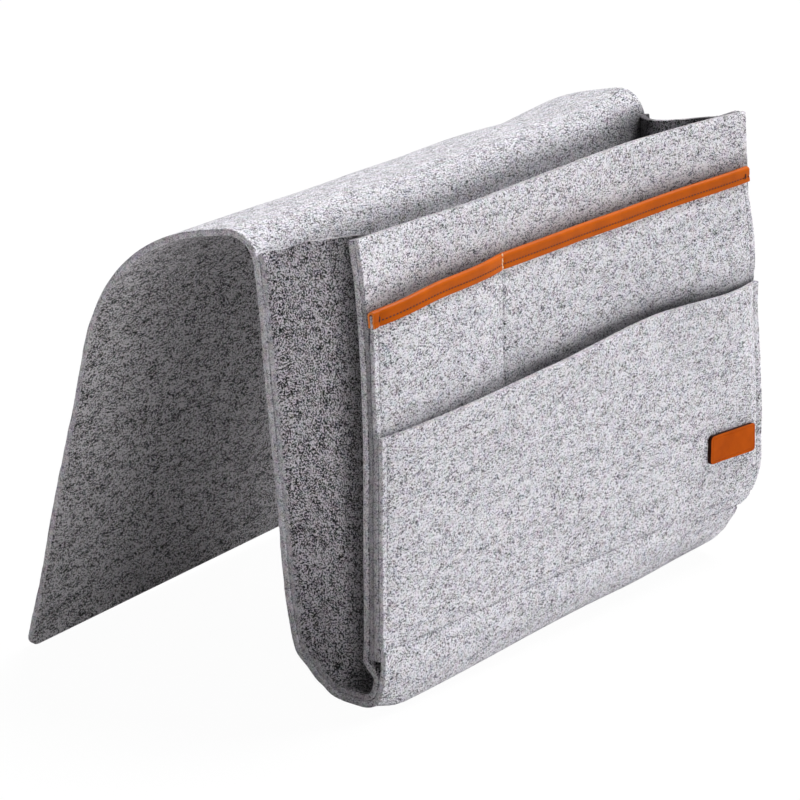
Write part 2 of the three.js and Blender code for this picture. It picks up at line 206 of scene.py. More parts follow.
@dataclass(frozen=True)
class Pattern:
    """The cutting and sewing plan: sizes that several pieces share, in millimetres.

    Fields: down to crest they are read off the CAD nodes. Then ply_gap, the room between layers; bound, the
    share of the felt's thickness left inside the leather; lean, the back wall's angle from upright; notch and
    corner, how far the right end is drawn in at its foot and how high that goes; mouth_draw and crest_draw,
    the same at the upper pocket's mouth and at the crest; and how deep the base, side and divider seams
    sink, as a share of the felt's thickness.
    """

    half: float
    felt: float
    wall_face: float
    strip_face: float
    bend: float
    front_centre: float
    back_centre: float
    panel_bottom: float
    front_top: float
    upper_mouth: float
    lower_mouth: float
    leather_low: float
    leather_high: float
    base_seam: float
    divider: float
    seam: float
    web: float
    crest: float
    ply_gap: float = 0.3
    bound: float = 0.45
    lean: float = 4.4
    notch: float = 16.0
    corner: float = 21.0
    mouth_draw: float = 5.4
    crest_draw: float = 3.2
    base_sink: float = 0.36
    side_sink: float = 0.3
    divider_sink: float = 0.45

    @classmethod
    def measured(cls) -> "Pattern":
        """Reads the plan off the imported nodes."""
        wall, bend = span("front_panel"), span("front_bend")
        leather, seam = span("leather_binding"), span("side_seam_right")
        return cls(
            half=span("flap")[1][0],
            felt=wall[1][1] - wall[0][1],
            wall_face=wall[0][1],
            strip_face=bend[0][1],
            bend=bend[1][2],
            front_centre=bend[1][1],
            back_centre=bend[1][1] + BOTTOM_FLAT,
            panel_bottom=wall[0][2],
            front_top=wall[1][2],
            upper_mouth=span("upper_pocket")[1][2],
            lower_mouth=span("lower_pocket")[1][2],
            leather_low=leather[0][2],
            leather_high=leather[1][2],
            base_seam=float(np.mean([corner[2] for corner in span("pocket_base_seam")])),
            divider=float(np.mean([corner[0] for corner in span("divider_seam")])),
            seam=(seam[0][0] + seam[1][0]) / 2,
            web=span("gusset_right")[0][0],
            crest=span("crest")[1][2],
        )

    def stations(self, *seams: float) -> Array:
        """Places across the width where sheets have a row of points, close together at edges and seams."""
        edge = self.half - np.array(EDGE_STEPS)
        field = np.linspace(-self.half + 13, self.half - 13, 84)
        for seam in seams:
            field = field[np.abs(field - seam) > 3.4]
            field = np.concatenate([field, seam + np.array(SEAM_STEPS)])
        return np.sort(np.concatenate([-edge, field, edge]))

    def reach(self, z: Array) -> Array:
        """How far the front layers reach to the right, drawn in round their lower right corner."""
        rise = np.clip((np.asarray(z, float) - self.panel_bottom) / self.corner, 0, 1)
        return self.half - self.notch * (1 - np.sqrt(1 - (1 - rise) ** 2))

    def upper_reach(self, z: Array) -> Array:
        """How far the upper pocket reaches to the right, drawn in a little towards its mouth as well."""
        return self.reach(z) - self.mouth_draw * ease(z, 164, 198)

    def drawn(self, x: Array, reach: Array) -> Array:
        """Places across the width, with the right half drawn in to a reach."""
        return np.where(x > 0, x * reach / self.half, x)

    def rear(self, z: Array) -> Array:
        """The back wall's outer face, as y over z."""
        lean = math.radians(self.lean)
        return self.back_centre + self.bend / math.cos(lean) + (z - self.bend) * math.tan(lean)

    def pulls(self) -> tuple[EndPull, ...]:
        """Where the gussets draw in the ends of both bends, and where the front's left end is squarer."""
        rear = ((-40, 0), (-15, 1.5), (18, 8.0), (60, 8.4), (85, 3.2), (113, 1.4), (150, 0))
        far = ((-40, 0), (-15, 1.6), (18, 4.2), (60, 6.0), (85, 3.0), (113, 1.4), (150, 0))
        left = ((-90, 0), (-65, -2.8), (-55, -5.4), (-45, -7.4), (-34, -5.4), (-22, -2.1), (-8, 0))
        curl = ((-95, 0), (-70, 1.8), (-45, 4.2), (-20, 3.2), (0, 1.6), (18, 0))
        right = ((-110, 0.6), (-90, 3.4), (-71, 6.6), (-42, 5.4), (-10, 1.8), (20, 1.2), (60, 0))
        return (
            EndPull(self.back_centre, self.bend, Side.LEFT, 132, rear),
            EndPull(self.back_centre, self.bend, Side.RIGHT, 132, far),
            EndPull(self.front_centre, self.bend, Side.LEFT, -60, left),
            EndPull(self.front_centre, self.bend, Side.LEFT, 140, curl),
            EndPull(self.front_centre, self.bend, Side.RIGHT, 50, right),
        )

    def settled(self, places: Array) -> Array:
        """Draws points in at the ends of both bends, and forward where the right gusset holds the crest."""
        for pull in self.pulls():
            places = pull.moved(places, self.half)
        x, y, z = (places[..., axis] for axis in range(3))
        corner = ease(x, 105, 158) * ease(z, 175, 222) * ease(y, -72, -50) * (1 - ease(y, -28, 8))
        drawn = self.crest_draw * corner
        return places - joined(0 * drawn, drawn, 0 * drawn)


@dataclass(frozen=True)
class FrontStack:
    """The faces of the layers on the front wall, as y over x and z, which the pieces there share."""

    plan: Pattern
    left_bow: float = 3.5
    right_bow: float = 2.0
    lower_bow: float = 6.0
    leather_lift: float = 0.7
    twist: float = 3.9
    ripple: Ripple = Ripple(11, 0.35, 60, 140)

    def tilt(self, x: Array) -> Array:
        """How far the leather runs above or below its level, which rises from left to right."""
        knots = ((-161, -3.8), (-113, 0.5), (-60, 1.5), (-8, 1.7), (50, 1.7), (106, 2.6), (161, 3.1))
        return through(x, knots)

    def top(self, x: Array) -> Array:
        """The front wall's upper edge, a little higher right of the middle."""
        knots = ((-160, 0.9), (-65, 0.8), (5, 1.5), (69, 2.3), (124, 2.2), (160, 1.4))
        return self.plan.front_top + through(x, knots)

    def lower_edge(self, x: Array) -> Array:
        """The lower pocket's upper edge, cut slightly uneven."""
        left = ((-160, -4.5), (-118, -2.6), (-71, -0.5), (-21, 1.2))
        right = ((38, 4.5), (67, 5.5), (96, 4.4), (127, 2.5), (160, 1.9))
        return self.plan.lower_mouth + through(x, left + right)

    def swing(self, x: Array, z: Array) -> Array:
        """How far the right end of the front stands forward, and how its left end leans back, as y."""
        low = ((0, 0), (27, 0.9), (50, 1.65), (75, 1.75), (100, 1.45), (123, 1.2))
        high = ((140, 1.2), (156, 1.6), (172, 1.2), (198, 1.0), (235, 0.85))
        start = through(z, ((0, 110), (75, 110), (130, 60), (180, 0), (240, 0)))
        across = np.clip((np.asarray(x, float) - start) / (165 - start), 0, 1)
        right = -self.twist * ease(across, 0, 1) * through(z, low + high)
        leans = ((0, 0), (40, 0), (70, -0.6), (100, -1.7), (135, -2.6))
        returns = ((160, -2.0), (190, -0.8), (214, 0.8), (236, 4.2))
        return right + ease(-np.asarray(x, float), 40, 158) * through(z, leans + returns)

    def dent(self, x: Array, z: Array) -> Array:
        """How far the front sags backward right of the middle, most at its upper edge, as y."""
        across = ((-160, 0), (-95, 0.06), (-59, 0.12), (6, 0.7), (67, 1.0), (125, 0.5), (160, 0))
        up = ((27, 0), (60, 0), (142, 2.2), (198, 4.5), (235, 6.7))
        return through(x, across) * through(z, up)

    def wall(self, x: Array, z: Array) -> Array:
        """The front wall's outer face."""
        uneven = self.ripple.at(x, z) * ease(z, 34, 80)
        return self.plan.wall_face + self.swing(x, z) + self.dent(x, z) + uneven

    def ply(self, x: Array, z: Array) -> Array:
        """Share of the felt's thickness that the side seams leave towards both ends."""
        return 1 - 0.22 * ease(np.abs(x), 144, 156) * ease(z, 26, 40)

    def opening(self, bow: float, z: Array, top: float) -> Array:
        """How far a mouth of that bow stands open at each height."""
        return bow * np.clip((np.asarray(z, float) - self.plan.base_seam) / (top - self.plan.base_seam), 0, 1)

    def lift(self, z: Array) -> Array:
        """Room for the leather behind the upper pocket's mouth."""
        return self.leather_lift * ease(z, 164, 194)

    def upper(self, x: Array, z: Array) -> Array:
        """The upper pocket's inner face."""
        plan = self.plan
        out = self.left_bow * bulge(x, -plan.seam, plan.divider, 3)
        out = out + self.right_bow * bulge(x, plan.divider, plan.seam, 3)
        stand = self.lift(z) + self.opening(1.0, z, plan.upper_mouth) * out
        return self.wall(x, z) - plan.ply_gap - stand

    def lower(self, x: Array, z: Array) -> Array:
        """The lower pocket's inner face, over the upper pocket."""
        plan = self.plan
        over = self.opening(self.left_bow, z, plan.upper_mouth) * bulge(x, -plan.seam, plan.seam, 8)
        own = self.opening(self.lower_bow, z, plan.lower_mouth) * bulge(x, -plan.seam, plan.seam, 3)
        return self.wall(x, z) - 2 * plan.ply_gap - plan.felt * self.ply(x, z) - self.lift(z) - over - own


def linear(hex_colour: str) -> tuple[float, float, float, float]:
    """Turns an sRGB hex colour into the linear colour that a shader takes."""
    parts = [int(hex_colour[i : i + 2], 16) / 255 for i in (1, 3, 5)]
    return (*[c / 12.92 if c <= 0.04045 else ((c + 0.055) / 1.055) ** 2.4 for c in parts], 1.0)


def add_node(
    tree: bpy.types.NodeTree, kind: str, settings: dict | None = None, inputs: dict | None = None
) -> bpy.types.Node:
    """Adds a node with its settings and links.

    Args:
        tree: The node tree that gets it.
        kind: The node's type, without the "ShaderNode" in front.
        settings: Attributes of the node.
        inputs: Values, or sockets to link from, by the input's name or number.

    Returns:
        The new node.
    """
    node = tree.nodes.new("ShaderNode" + kind)
    for name, value in (settings or {}).items():
        setattr(node, name, value)
    for key, value in (inputs or {}).items():
        if isinstance(value, Socket):
            tree.links.new(value, node.inputs[key])
        else:
            node.inputs[key].default_value = value
    return node


def per_mm(size: float) -> float:
    """The texture scale that gives features of about that many millimetres."""
    return 1 / (size * METRES)


class MaterialTree:
    """A material's node tree, with the few kinds of node that the finishes here are made of."""

    def __init__(self, name: str) -> None:
        """Makes a material with an empty node tree."""
        self.material = bpy.data.materials.new(name)
        self.material.use_nodes = True
        self.tree = self.material.node_tree
        self.tree.nodes.clear()

    def place(self) -> Socket:
        """The place on the object."""
        return add_node(self.tree, "TexCoord").outputs["Object"]

    def noise(self, place: Socket, size: float, detail: float, roughness: float = 0.5) -> bpy.types.Node:
        """Soft noise with features of about that many millimetres."""
        inputs = {"Vector": place, "Scale": per_mm(size), "Detail": detail, "Roughness": roughness}
        return add_node(self.tree, "TexNoise", inputs=inputs)

    def laid(self, place: Socket, turn: tuple[float, ...], stretch: float) -> Socket:
        """The place, turned and stretched along one way, as fibres lie."""
        inputs = {"Vector": place, "Rotation": turn, "Scale": (stretch, 1.0, 1.0)}
        return add_node(self.tree, "Mapping", inputs=inputs).outputs[0]

    def sum(self, operation: str, *values: Socket | float) -> Socket:
        """One sum of two or three values."""
        return add_node(self.tree, "Math", {"operation": operation}, dict(enumerate(values))).outputs[0]

    def shifted(self, operation: str, *values: Socket | tuple[float, ...]) -> Socket:
        """One sum of two vectors."""
        return add_node(self.tree, "VectorMath", {"operation": operation}, dict(enumerate(values))).outputs[0]

    def spread(self, value: Socket, source: Pair, target: Pair = (0, 1)) -> Socket:
        """The value, with one range stretched to another and held at its ends."""
        ends = zip(("From Min", "From Max", "To Min", "To Max"), (*source, *target))
        return add_node(self.tree, "MapRange", inputs={"Value": value, **dict(ends)}).outputs[0]

    def mixed(self, share: Socket | float, first: Colour, second: Colour, kind: str = "MIX") -> Socket:
        """Two colours mixed by a share."""
        settings = {"data_type": "RGBA", "blend_type": kind}
        return add_node(self.tree, "Mix", settings, {0: share, 6: first, 7: second}).outputs[2]

    def bump(self, height: Socket, strength: float, depth: float) -> Socket:
        """Fine relief of that depth in millimetres."""
        inputs = {"Height": height, "Strength": strength, "Distance": depth * METRES}
        return add_node(self.tree, "Bump", inputs=inputs).outputs["Normal"]

    def finished(self, colour: Socket, normal: Socket, **inputs: Socket | float) -> Material:
        """Ends the tree with a surface; an input's name has underscores for its spaces."""
        named = {key.replace("_", " "): value for key, value in inputs.items()}
        surface = {"Base Color": colour, "Normal": normal, **named}
        shader = add_node(self.tree, "BsdfPrincipled", inputs=surface)
        add_node(self.tree, "OutputMaterial", inputs={"Surface": shader.outputs[0]})
        return self.material


@dataclass(frozen=True)
class HeatherFelt:
    """Needled wool felt in heather grey.

    Pale, mid and dark fibres lie in every direction, so the eye sees short soft flecks on a matt, slightly
    furry face. A cut edge is the same felt with the fibres' ends showing, a little warmer.

    Fields: name; tones from dark to pale; sizes of flecks, specks and mottle in millimetres; hair, how thin a
    fleck is for its length; patch, the mottle's strength; contrast; level, the usual tone; dye and sheen.
    """

    name: str = "heather_grey_wool_felt"
    tones: tuple[str, str, str, str] = ("#151419", "#7C7A82", "#D3D1D8", "#F0EEF4")
    fleck: float = 0.8
    hair: float = 0.46
    speck: float = 0.7
    mottle: float = 4.0
    patch: float = 0.24
    contrast: float = 1.2
    level: float = 0.68
    dye: float = 0.22
    sheen: float = 0.12

    def material(self) -> Material:
        """Makes the felt's material."""
        nodes = MaterialTree(self.name)
        place = nodes.place()
        # Fibres are about 0.03 mm thick. They are drawn as tufts of about a millimetre, so that they show.
        waves = nodes.shifted("SUBTRACT", nodes.noise(place, 3.2, 1.0).outputs["Color"], (0.5, 0.5, 0.5))
        curled = nodes.shifted("ADD", place, nodes.shifted("MULTIPLY", waves, (0.0013, 0.0013, 0.0013)))
        tufts = [
            nodes.noise(nodes.laid(curled, turn, self.hair), self.fleck, 2.0, 0.55).outputs["Fac"]
            for turn in ((0.3, 0.62, 0.2), (-0.2, -0.7, 0.5), (0.5, 1.45, -0.3))
        ]
        darkest = nodes.sum("MINIMUM", nodes.sum("MINIMUM", tufts[0], tufts[1]), tufts[2])
        flecks = nodes.spread(darkest, (0.28, 0.46), (0, 0.56))
        specks = nodes.spread(nodes.noise(place, self.speck, 1.0).outputs["Fac"], (0.34, 0.66), (0, 0.5))
        # The carded wool lies in tufts of several millimetres, which show as darker and paler streaks.
        carded = nodes.noise(nodes.laid(curled, (0.4, 0.75, 0.3), 0.5), self.mottle, 2.0).outputs["Fac"]
        streaks = nodes.spread(carded, (0.3, 0.7), (0, self.patch))
        whole = nodes.sum("ADD", nodes.sum("ADD", flecks, specks), streaks)
        middle = self.level - self.contrast * (0.63 + self.patch / 2)
        tone = nodes.sum("MULTIPLY_ADD", whole, self.contrast, middle)
        ramp = add_node(nodes.tree, "ValToRGB", inputs={"Fac": tone})
        stops = ramp.color_ramp.elements
        stops[0].position, stops[0].color = 0.14, linear(self.tones[0])
        stops[1].position, stops[1].color = 1.0, linear(self.tones[3])
        for position, colour in ((0.42, self.tones[1]), (0.72, self.tones[2])):
            stops.new(position).color = linear(colour)
        # Fibres of blue, rose and green are blended into the grey, as faint tints of a few millimetres.
        tints = nodes.noise(place, 3.6, 2.0).outputs["Color"]
        dyed = nodes.mixed(self.dye, ramp.outputs["Color"], tints, "OVERLAY")
        # Painted shade: the felt is mixed towards its darkest tone by the fold attribute, in creases, in
        # corners and just above the leather and the lower pocket's mouth.
        fold = add_node(nodes.tree, "Attribute", {"attribute_name": "fold"}).outputs["Fac"]
        shade = nodes.mixed(fold, dyed, linear(self.tones[0]))
        return nodes.finished(
            shade,
            nodes.bump(tone, 0.8, 0.7),
            Roughness=0.95,
            Specular_IOR_Level=0.2,
            Sheen_Weight=self.sheen,
            Sheen_Roughness=0.5,
        )


@dataclass(frozen=True)
class TanLeather:
    """Chrome tanned leather in burnt orange.

    The grain side is smooth with fine pores, so it shows a soft gloss along folds. Cut edges show paler or
    burnished fibre without the gloss.
    """

    name: str = "burnt_orange_leather"
    light: str = "#B95704"
    deep: str = "#A54B03"
    pores: float = 0.45
    clouds: float = 14.0
    roughness: float = 0.42
    grain: float = 0.35
    gloss: float = 0.06

    def material(self) -> Material:
        """Makes the leather's material."""
        nodes = MaterialTree(self.name)
        place = nodes.place()
        tint = nodes.noise(place, self.clouds, 4.0, 0.6).outputs["Fac"]
        colour = nodes.mixed(nodes.spread(tint, (0.32, 0.68)), linear(self.deep), linear(self.light))
        # Real pores are about 0.1 mm apart, and are drawn at nearly half a millimetre, so that they show.
        inputs = {"Vector": place, "Scale": per_mm(self.pores)}
        cells = add_node(nodes.tree, "TexVoronoi", {"feature": "SMOOTH_F1"}, inputs).outputs["Distance"]
        dull = nodes.spread(tint, (0.3, 0.7), (self.roughness - 0.06, self.roughness + 0.08))
        skin = nodes.bump(cells, self.grain, 0.1)
        return nodes.finished(colour, skin, Roughness=dull, Specular_IOR_Level=self.gloss)


@dataclass(frozen=True)
class SpunThread:
    """Spun polyester sewing thread: plies twisted together, so each stitch shows fine slanted ridges."""

    name: str
    light: str
    deep: str
    twist: float = 0.45

    def material(self) -> Material:
        """Makes the thread's material."""
        nodes = MaterialTree(self.name)
        # A wave texture's bands are about 6.3 times as close as its scale says.
        inputs = {"Vector": nodes.place(), "Scale": per_mm(self.twist) / 6.3, "Distortion": 1.0}
        bands = {"wave_type": "BANDS", "bands_direction": "DIAGONAL"}
        plies = add_node(nodes.tree, "TexWave", bands, inputs).outputs["Fac"]
        colour = nodes.mixed(plies, linear(self.deep), linear(self.light))
        return nodes.finished(colour, nodes.bump(plies, 0.5, 0.1), Roughness=0.7)


class Finishes:
    """Every material of the caddy, made once."""

    def __init__(self) -> None:
        """Makes the materials."""
        self.felt = HeatherFelt().material()
        # Painted shade: a darker, more contrasty copy of the felt for the back strip's other face.
        self.felt_reverse_painted_shade = HeatherFelt(
            name="heather_grey_felt_reverse_painted_shade",
            tones=("#040304", "#6C676D", "#DAD3DB", "#FFFBFF"),
            patch=0.28,
            contrast=4.4,
            level=0.6,
            dye=0.4,
        ).material()
        # Painted shade: a darker, more contrasty copy of the felt for both gussets.
        self.felt_gusset_painted_shade = HeatherFelt(
            name="heather_grey_felt_inside_painted_shade",
            tones=("#020203", "#47444A", "#A29EA6", "#F8F2FA"),
            contrast=2.9,
            level=0.62,
            dye=0.4,
        ).material()
        edge_tones = ("#454146", "#85818A", "#B7B3B8", "#DAD6DB")
        self.felt_edge = HeatherFelt(name="cut_felt_edge", tones=edge_tones, speck=0.5).material()
        self.leather = TanLeather().material()
        self.leather_edge = TanLeather(
            name="raw_leather_edge", light="#E0925C", deep="#C97236", roughness=0.75, grain=0.6
        ).material()
        self.label = TanLeather(
            name="matt_brown_leather", light="#B9530E", deep="#A04408", roughness=0.6, grain=0.6, gloss=0.03
        ).material()
        self.label_edge = TanLeather(
            name="burnished_leather_edge", light="#2E150B", deep="#1A0B06", roughness=0.6, gloss=0.05
        ).material()
        self.threads = {
            Thread.GREY: SpunThread("grey_polyester_thread", "#A3A1A8", "#7C7A82").material(),
            Thread.CREAM: SpunThread("cream_polyester_thread", "#F6E4CB", "#D9B78E").material(),
            Thread.BROWN: SpunThread("brown_polyester_thread", "#5E240A", "#3A1404").material(),
        }


def alone(piece: Piece) -> None:
    """Makes a piece the only selected one, and the active one."""
    bpy.ops.object.select_all(action="DESELECT")
    piece.select_set(True)
    bpy.context.view_layer.objects.active = piece


@contextmanager
def whole_mesh() -> Iterator[None]:
    """Opens the active piece for editing with its whole mesh selected, and closes it again."""
    bpy.ops.object.mode_set(mode="EDIT")
    bpy.ops.mesh.select_all(action="SELECT")
    yield
    bpy.ops.object.mode_set(mode="OBJECT")


@dataclass
class CutSheet:
    """A piece cut from sheet: a grid laid out in space, given its thickness and a softened cut edge.

    Fields: name; places, the middle surface as rows of points; thickness; press, the share of the thickness
    left at each point; weld, for grids that fold onto themselves; edge, the width of the softened rim;
    fold, from 0 to 1 how much painted shade each point gets, which the felt reads to darken there.
    """

    name: str
    places: Array
    thickness: float
    press: Array | None = None
    weld: bool = False
    edge: float = 0.45
    fold: Array | None = None

    def build(
        self, face: Material, rim: Material, reverse: Material | None = None
    ) -> Piece:
        """Models the sheet.

        Args:
            face: Finish of both faces, or of the one that the grid faces.
            rim: Finish of the cut edges.
            reverse: Finish of the other face, where it differs; for the back strip, painted shade.

        Returns:
            The finished piece.
        """
        rows, columns = self.places.shape[:2]
        bpy.ops.object.select_all(action="DESELECT")
        bpy.ops.mesh.primitive_grid_add(x_subdivisions=columns - 1, y_subdivisions=rows - 1, size=1)
        piece = bpy.context.active_object
        piece.name = piece.data.name = self.name
        flat = np.zeros(len(piece.data.vertices) * 3)
        piece.data.vertices.foreach_get("co", flat)
        flat = flat.reshape(-1, 3)
        across = np.rint((flat[:, 0] + 0.5) * (columns - 1)).astype(int)
        along = np.rint((flat[:, 1] + 0.5) * (rows - 1)).astype(int)
        piece.data.vertices.foreach_set("co", (self.places[along, across] * METRES).ravel())
        for material in (face, rim, reverse or face):
            piece.data.materials.append(material)
        # The fold attribute carries painted shade, which the felt reads.
        if self.fold is not None:
            depth = piece.data.attributes.new("fold", "FLOAT", "POINT")
            depth.data.foreach_set("value", self.fold[along, across].astype(np.float32))
        if self.press is not None:
            group = piece.vertex_groups.new(name="pressed")
            for index, share in enumerate(self.press[along, across]):
                group.add([index], float(share), "REPLACE")
        if self.weld:
            with whole_mesh():
                bpy.ops.mesh.remove_doubles(threshold=0.02 * METRES)
        self.thicken(piece)
        return piece

    def thicken(self, piece: Piece) -> None:
        """Gives the laid grid its thickness and soft rim, and smooths it."""
        alone(piece)
        solid = piece.modifiers.new("thickness", "SOLIDIFY")
        solid.thickness = self.thickness * METRES
        solid.offset = 0
        solid.use_even_offset = self.press is None
        solid.material_offset = 2
        solid.material_offset_rim = 1
        if self.press is not None:
            solid.vertex_group = "pressed"
            solid.thickness_vertex_group = 0
        bpy.ops.object.modifier_apply(modifier=solid.name)
        soft = piece.modifiers.new("rim", "BEVEL")
        soft.width = self.edge * METRES
        soft.segments = 2
        soft.limit_method = "ANGLE"
        soft.angle_limit = math.radians(52)
        soft.use_clamp_overlap = False
        bpy.ops.object.modifier_apply(modifier=soft.name)
        piece.vertex_groups.clear()
        with whole_mesh():
            bpy.ops.mesh.normals_make_consistent(inside=False)
        bpy.ops.object.shade_smooth_by_angle(angle=math.radians(50))


@dataclass
class Walk:
    """Side view of a folded sheet's middle line: a walk of straight runs and bends in y and z."""

    y: float
    z: float
    heading: float
    steps: list[tuple[float, float]]

    @classmethod
    def begun(cls, y: float, z: float, heading: float) -> "Walk":
        """Starts a walk at a point, with its heading in degrees up from +y."""
        return cls(y, z, math.radians(heading), [(y, z)])

    def step(self, length: float, heading: float) -> None:
        """Goes one step that way."""
        self.y += length * math.cos(heading)
        self.z += length * math.sin(heading)
        self.steps.append((self.y, self.z))

    def run(self, length: float, count: int) -> None:
        """Goes straight on for a length, in that many steps."""
        for _ in range(count):
            self.step(length / count, self.heading)

    def turn(self, radius: float, degrees: float, count: int) -> None:
        """Goes round a bend of that radius, to the left where degrees is above 0."""
        side = math.copysign(1, degrees)
        middle_y = self.y - side * radius * math.sin(self.heading)
        middle_z = self.z + side * radius * math.cos(self.heading)
        for _ in range(count):
            self.heading += math.radians(degrees) / count
            self.y = middle_y + side * radius * math.sin(self.heading)
            self.z = middle_z - side * radius * math.cos(self.heading)
            self.steps.append((self.y, self.z))

    def sweep(self, length: float, degrees: float, count: int) -> None:
        """Goes round a bend that starts and ends gently, like a sheet under its own weight."""
        start = self.heading
        for number in range(count):
            share = float(ease(number + 0.5, 0, count))
            self.step(length / count, start + math.radians(degrees) * share)
        self.heading = start + math.radians(degrees)


@dataclass(frozen=True)
class FoldedStrip:
    """The long felt strip, from the lower pocket round the bottom and over the bed's edge to the flap.

    Fields: crest_rise and crest_fall, the crest's height and its slope to the back, by place across the
    width; crest_round, the radius of its front turn at the left and right end; shoulder, the length of the
    bend over the bed's edge; splay, the flap's first angle from upright; skew, how the flap hangs a little
    turned: the shift of its foot to the side, the shift of its left end forward, how much further back
    its right end stands, and how much higher.
    """

    plan: Pattern
    stack: FrontStack
    crest_rise: Knots = ((-160, -2.5), (25, -1.5), (75, 0.5), (118, 0.5), (135, 3.0), (160, 6.5))
    crest_round: tuple[float, float] = (17.0, 14.0)
    crest_fall: Knots = ((-160, 8), (40, 6), (85, 7), (160, 12))
    shoulder: float = 131.0
    splay: float = 16.0
    skew: tuple[float, float, float, float] = (-10.5, -8.5, 13.4, 9.2)
    flap_corner: float = 6.0
    ripple: Ripple = Ripple(23, 0.5, 70, 190)
    cut: Ripple = Ripple(31, 0.22, 9, 30)

    def front_places(self) -> tuple[Array, Array]:
        """Lays out the lower pocket and the bend under it: places, and the thickness that seams leave."""
        plan, stack, middle = self.plan, self.stack, self.plan.bend - self.plan.felt / 2
        x = plan.stations()
        rows, press = [], []
        for angle in np.radians(np.linspace(0, 88, 20)):
            swing = stack.swing(x, plan.bend) * math.sin(angle) ** 2
            y = plan.front_centre - middle * math.sin(angle) + swing
            z = plan.bend - middle * math.cos(angle)
            rows.append(joined(plan.drawn(x, plan.half - plan.notch), y, 0 * x + z))
            press.append(0 * x + 1)
        low = plan.panel_bottom + np.array(BASE_ROWS)
        for z in low:
            rows.append(self.panel_row(x, 0 * x + z))
            press.append(stack.ply(x, z) - plan.base_sink * ridge(z, plan.base_seam, 0.8))
        start, mouth = low[-1], stack.lower_edge(x)
        for share in np.concatenate([np.linspace(0, 0.96, 34)[1:], [0.985, 1.0]]):
            z = start + share * (mouth - start)
            rows.append(self.panel_row(x, z))
            press.append(stack.ply(x, z) - plan.side_sink * ridge(np.abs(x), plan.seam, 0.8))
        places = np.array(rows)
        places[..., 0] += self.cut.at(places[..., 2], 0 * x) * ease(np.abs(x), 150, 160)
        return plan.settled(places), np.array(press)

    def panel_row(self, x: Array, z: Array) -> Array:
        """One level row of the lower pocket's middle surface."""
        drawn = self.plan.drawn(x, self.plan.reach(z))
        half = self.plan.felt / 2 * self.stack.ply(drawn, z)
        return joined(drawn, self.stack.lower(drawn, z) - half, z)

    def crest(self, x: float) -> tuple[float, float]:
        """The top of the crest and the outer radius of its front turn, at one place across the width."""
        share = (x / self.plan.half + 1) / 2
        top = self.plan.crest + float(through(x, self.crest_rise))
        return top, self.crest_round[0] + share * (self.crest_round[1] - self.crest_round[0])

    def back_walk(self, x: float) -> Array:
        """The strip's side view at one place across the width, from the bottom to the flap's foot.

        Args:
            x: Place across the width.

        Returns:
            Points of y and z.
        """
        plan, half_felt = self.plan, self.plan.felt / 2
        share = (x / plan.half + 1) / 2
        top, outer = self.crest(x)
        over = outer - half_felt
        walk = Walk.begun(plan.front_centre, half_felt, 0)
        walk.run(plan.back_centre - plan.front_centre, 2)
        walk.turn(plan.bend - half_felt, 90 - plan.lean, 16)
        lean = math.radians(90 - plan.lean)
        walk.run((top - half_felt - over * (1 - math.cos(lean)) - walk.z) / math.sin(lean), 44)
        fall = float(through(x, self.crest_fall))
        walk.turn(over, plan.lean - 90 - fall, 18)
        splay = math.radians(self.splay)
        foot_y = span("flap")[1][1] + self.skew[1] + share * self.skew[2] - half_felt * math.cos(splay)
        foot_z = share * self.skew[3] + half_felt * math.sin(splay)
        # The bend's end and the flap's heading depend on each other, so the heading is found in a few tries.
        heading = self.splay - 90
        for _ in range(6):
            trial = Walk.begun(walk.y, walk.z, -fall)
            trial.sweep(self.shoulder, heading + fall, 36)
            heading = math.degrees(math.atan2(foot_z - trial.z, foot_y - trial.y))
        walk.sweep(self.shoulder, heading + fall, 36)
        last = self.flap_corner + 1
        walk.run(math.hypot(foot_y - walk.y, foot_z - walk.z) - last, 34)
        walk.run(last, 10)
        return np.array(walk.steps)

    def back_places(self) -> Array:
        """Lays out the bottom, back wall, crest and flap."""
        plan = self.plan
        x = plan.stations()
        walks = np.array([self.back_walk(place) for place in x]).transpose(1, 0, 2)
        gone = np.concatenate([[0], np.cumsum(np.linalg.norm(np.diff(walks[:, 0], axis=0), axis=1))])
        foot = gone[-1] - gone
        inside = np.clip(self.flap_corner - foot, 0, None)
        rounded = plan.half - self.flap_corner + np.sqrt(self.flap_corner**2 - inside**2)
        reach = np.minimum(rounded, plan.half - plan.notch * (1 - ease(gone, 0, 40)))
        across = np.where(x > 0, x * reach[:, None], x * rounded[:, None]) / plan.half
        across = across + self.cut.at(walks[..., 0], walks[..., 1]) * ease(np.abs(x), 152, 160)
        # The flap's turn starts at the crest, which is a little before half way.
        across = across + self.skew[0] * np.clip((gone - gone[-1] * 0.48) / (gone[-1] * 0.52), 0, 1)[:, None]
        free = ease(foot, 0, 40) * ease(gone, 60, 110)
        y = walks[..., 0] + self.ripple.at(across, foot[:, None] + 0 * x) * free[:, None]
        return plan.settled(joined(across, y, walks[..., 1]))

    def back_painted_shade(self, places: Array) -> Array:
        """Painted shade in the corner between the crest and the right gusset, from 0 to 1."""
        x, y, z = (places[..., axis] for axis in range(3))
        corner = ease(x, 118, 156) * (1 - ease(y, -40, -30)) * ease(z, 150, 180)
        return 0.7 * corner * (1 - ease(z, 222, 232))

    def build(self, finishes: Finishes) -> list[Piece]:
        """Models the front half and the back half of the strip, which meet under the bottom."""
        plan = self.plan
        places, press = self.front_places()
        front = CutSheet("strip_front", places, plan.felt, press).build(finishes.felt, finishes.felt_edge)
        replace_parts(front, "lower_pocket", "front_bend")
        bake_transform(front)
        places = self.back_places()
        back = CutSheet("strip_back", places, plan.felt, fold=self.back_painted_shade(places))
        back = back.build(finishes.felt, finishes.felt_edge, finishes.felt_reverse_painted_shade)
        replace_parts(back, "bottom_panel", "back_panel", "crest", "flap_bend", "flap")
        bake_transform(back)
        return [front, back]


